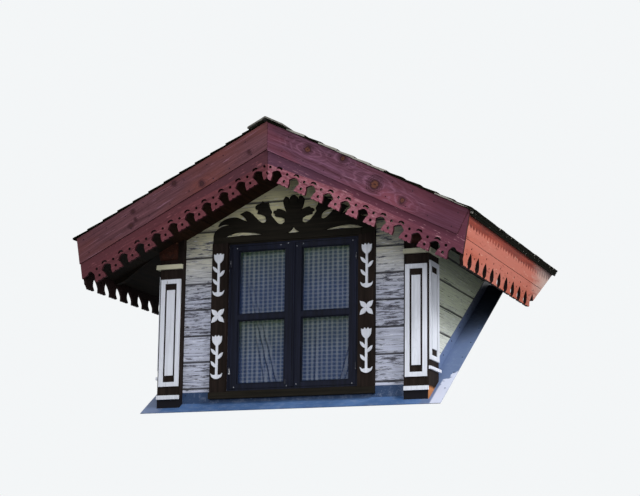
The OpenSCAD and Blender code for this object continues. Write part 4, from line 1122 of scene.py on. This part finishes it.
# ---- stage
def place_camera():
    """Right of the front and below it, with a slight roll"""
    az, el, roll = map(math.radians, (21.74, 11.88, 0.71))
    look = Vector((-math.sin(az) * math.cos(el), math.cos(az) * math.cos(el), math.sin(el)))
    right = Vector((math.cos(az), math.sin(az), 0))
    up = right.cross(look)
    r2 = math.cos(roll) * right + math.sin(roll) * up
    u2 = -math.sin(roll) * right + math.cos(roll) * up
    data = bpy.data.cameras.new("camera")
    data.lens = 101.04
    data.clip_end = 200
    cam = bpy.data.objects.new("camera", data)
    bpy.context.scene.collection.objects.link(cam)
    turn = Matrix((r2, u2, -look)).transposed().to_4x4()
    cam.matrix_world = Matrix.Translation((4.702, -11.3585, -1.492)) @ turn
    bpy.context.scene.camera = cam


def place_lights():
    scene = bpy.context.scene
    scene.view_settings.view_transform = "Standard"
    world = bpy.data.worlds.new("studio")
    scene.world = world
    world.use_nodes = True
    nt = world.node_tree
    nt.nodes.clear()
    out = nt.nodes.new("ShaderNodeOutputWorld")
    mix = nt.nodes.new("ShaderNodeMixShader")
    # The first backdrop gives the light, the second is what the eye sees
    backdrops = (((0.93, 0.95, 1.0, 1), 0.36), ((0.9, 0.92, 0.93, 1), 1.0))
    for i, (colour, strength) in enumerate(backdrops):
        sky = nt.nodes.new("ShaderNodeBackground")
        sky.inputs["Color"].default_value = colour
        sky.inputs["Strength"].default_value = strength
        nt.links.new(sky.outputs[0], mix.inputs[1 + i])
    path = nt.nodes.new("ShaderNodeLightPath")
    seen = path.outputs["Is Camera Ray"]
    for ray in ("Is Glossy Ray", "Is Transmission Ray"):
        add = nt.nodes.new("ShaderNodeMath")
        add.operation, add.use_clamp = "ADD", True
        nt.links.new(seen, add.inputs[0])
        nt.links.new(path.outputs[ray], add.inputs[1])
        seen = add.outputs[0]
    nt.links.new(seen, mix.inputs[0])
    nt.links.new(mix.outputs[0], out.inputs["Surface"])
    # Lamps as (name, place, size, power)
    lamps = (
        ("key_lamp", (7.5, -3.4, 5.2), 2.6, 620),
        ("fill_lamp", (3.4, -10.6, 2.4), 4.5, 560),
        ("low_side_lamp", (8.0, -1.0, -0.6), 3.0, 95),
        ("back_lamp", (-3.0, 7.5, 6.0), 4.0, 260),
    )
    for name, place, size, power in lamps:
        data = bpy.data.lights.new(name, "AREA")
        data.size = size
        data.energy = power
        lamp = bpy.data.objects.new(name, data)
        scene.collection.objects.link(lamp)
        lamp.location = place
        aim = Vector((0, 0.5, 0.8)) - Vector(place)
        lamp.rotation_euler = aim.to_track_quat("-Z", "Y").to_euler()


def place_floor():
    floor = block("studio_floor", (-14, -14, -2.35), (14, 14, -2.2))
    floor.data.materials.append(plain_floor())


place_camera()
place_lights()
place_floor()
dress_nodes()
shingle_mat = shingle_wood("silvered_shingles")
lay_shingles(1, "shingle_courses_right", shingle_mat)
lay_shingles(-1, "shingle_courses_left", shingle_mat)
saw_eave_board(1, 0.018, 0.024)
saw_eave_board(-1, 0.034, 0.016)
make_curtains()
bargeboard_nails()
flashing_nails()
flashing_tails()
glazing_beads()
sill_bead()
head_bead()
sash_screws()
turn_button()
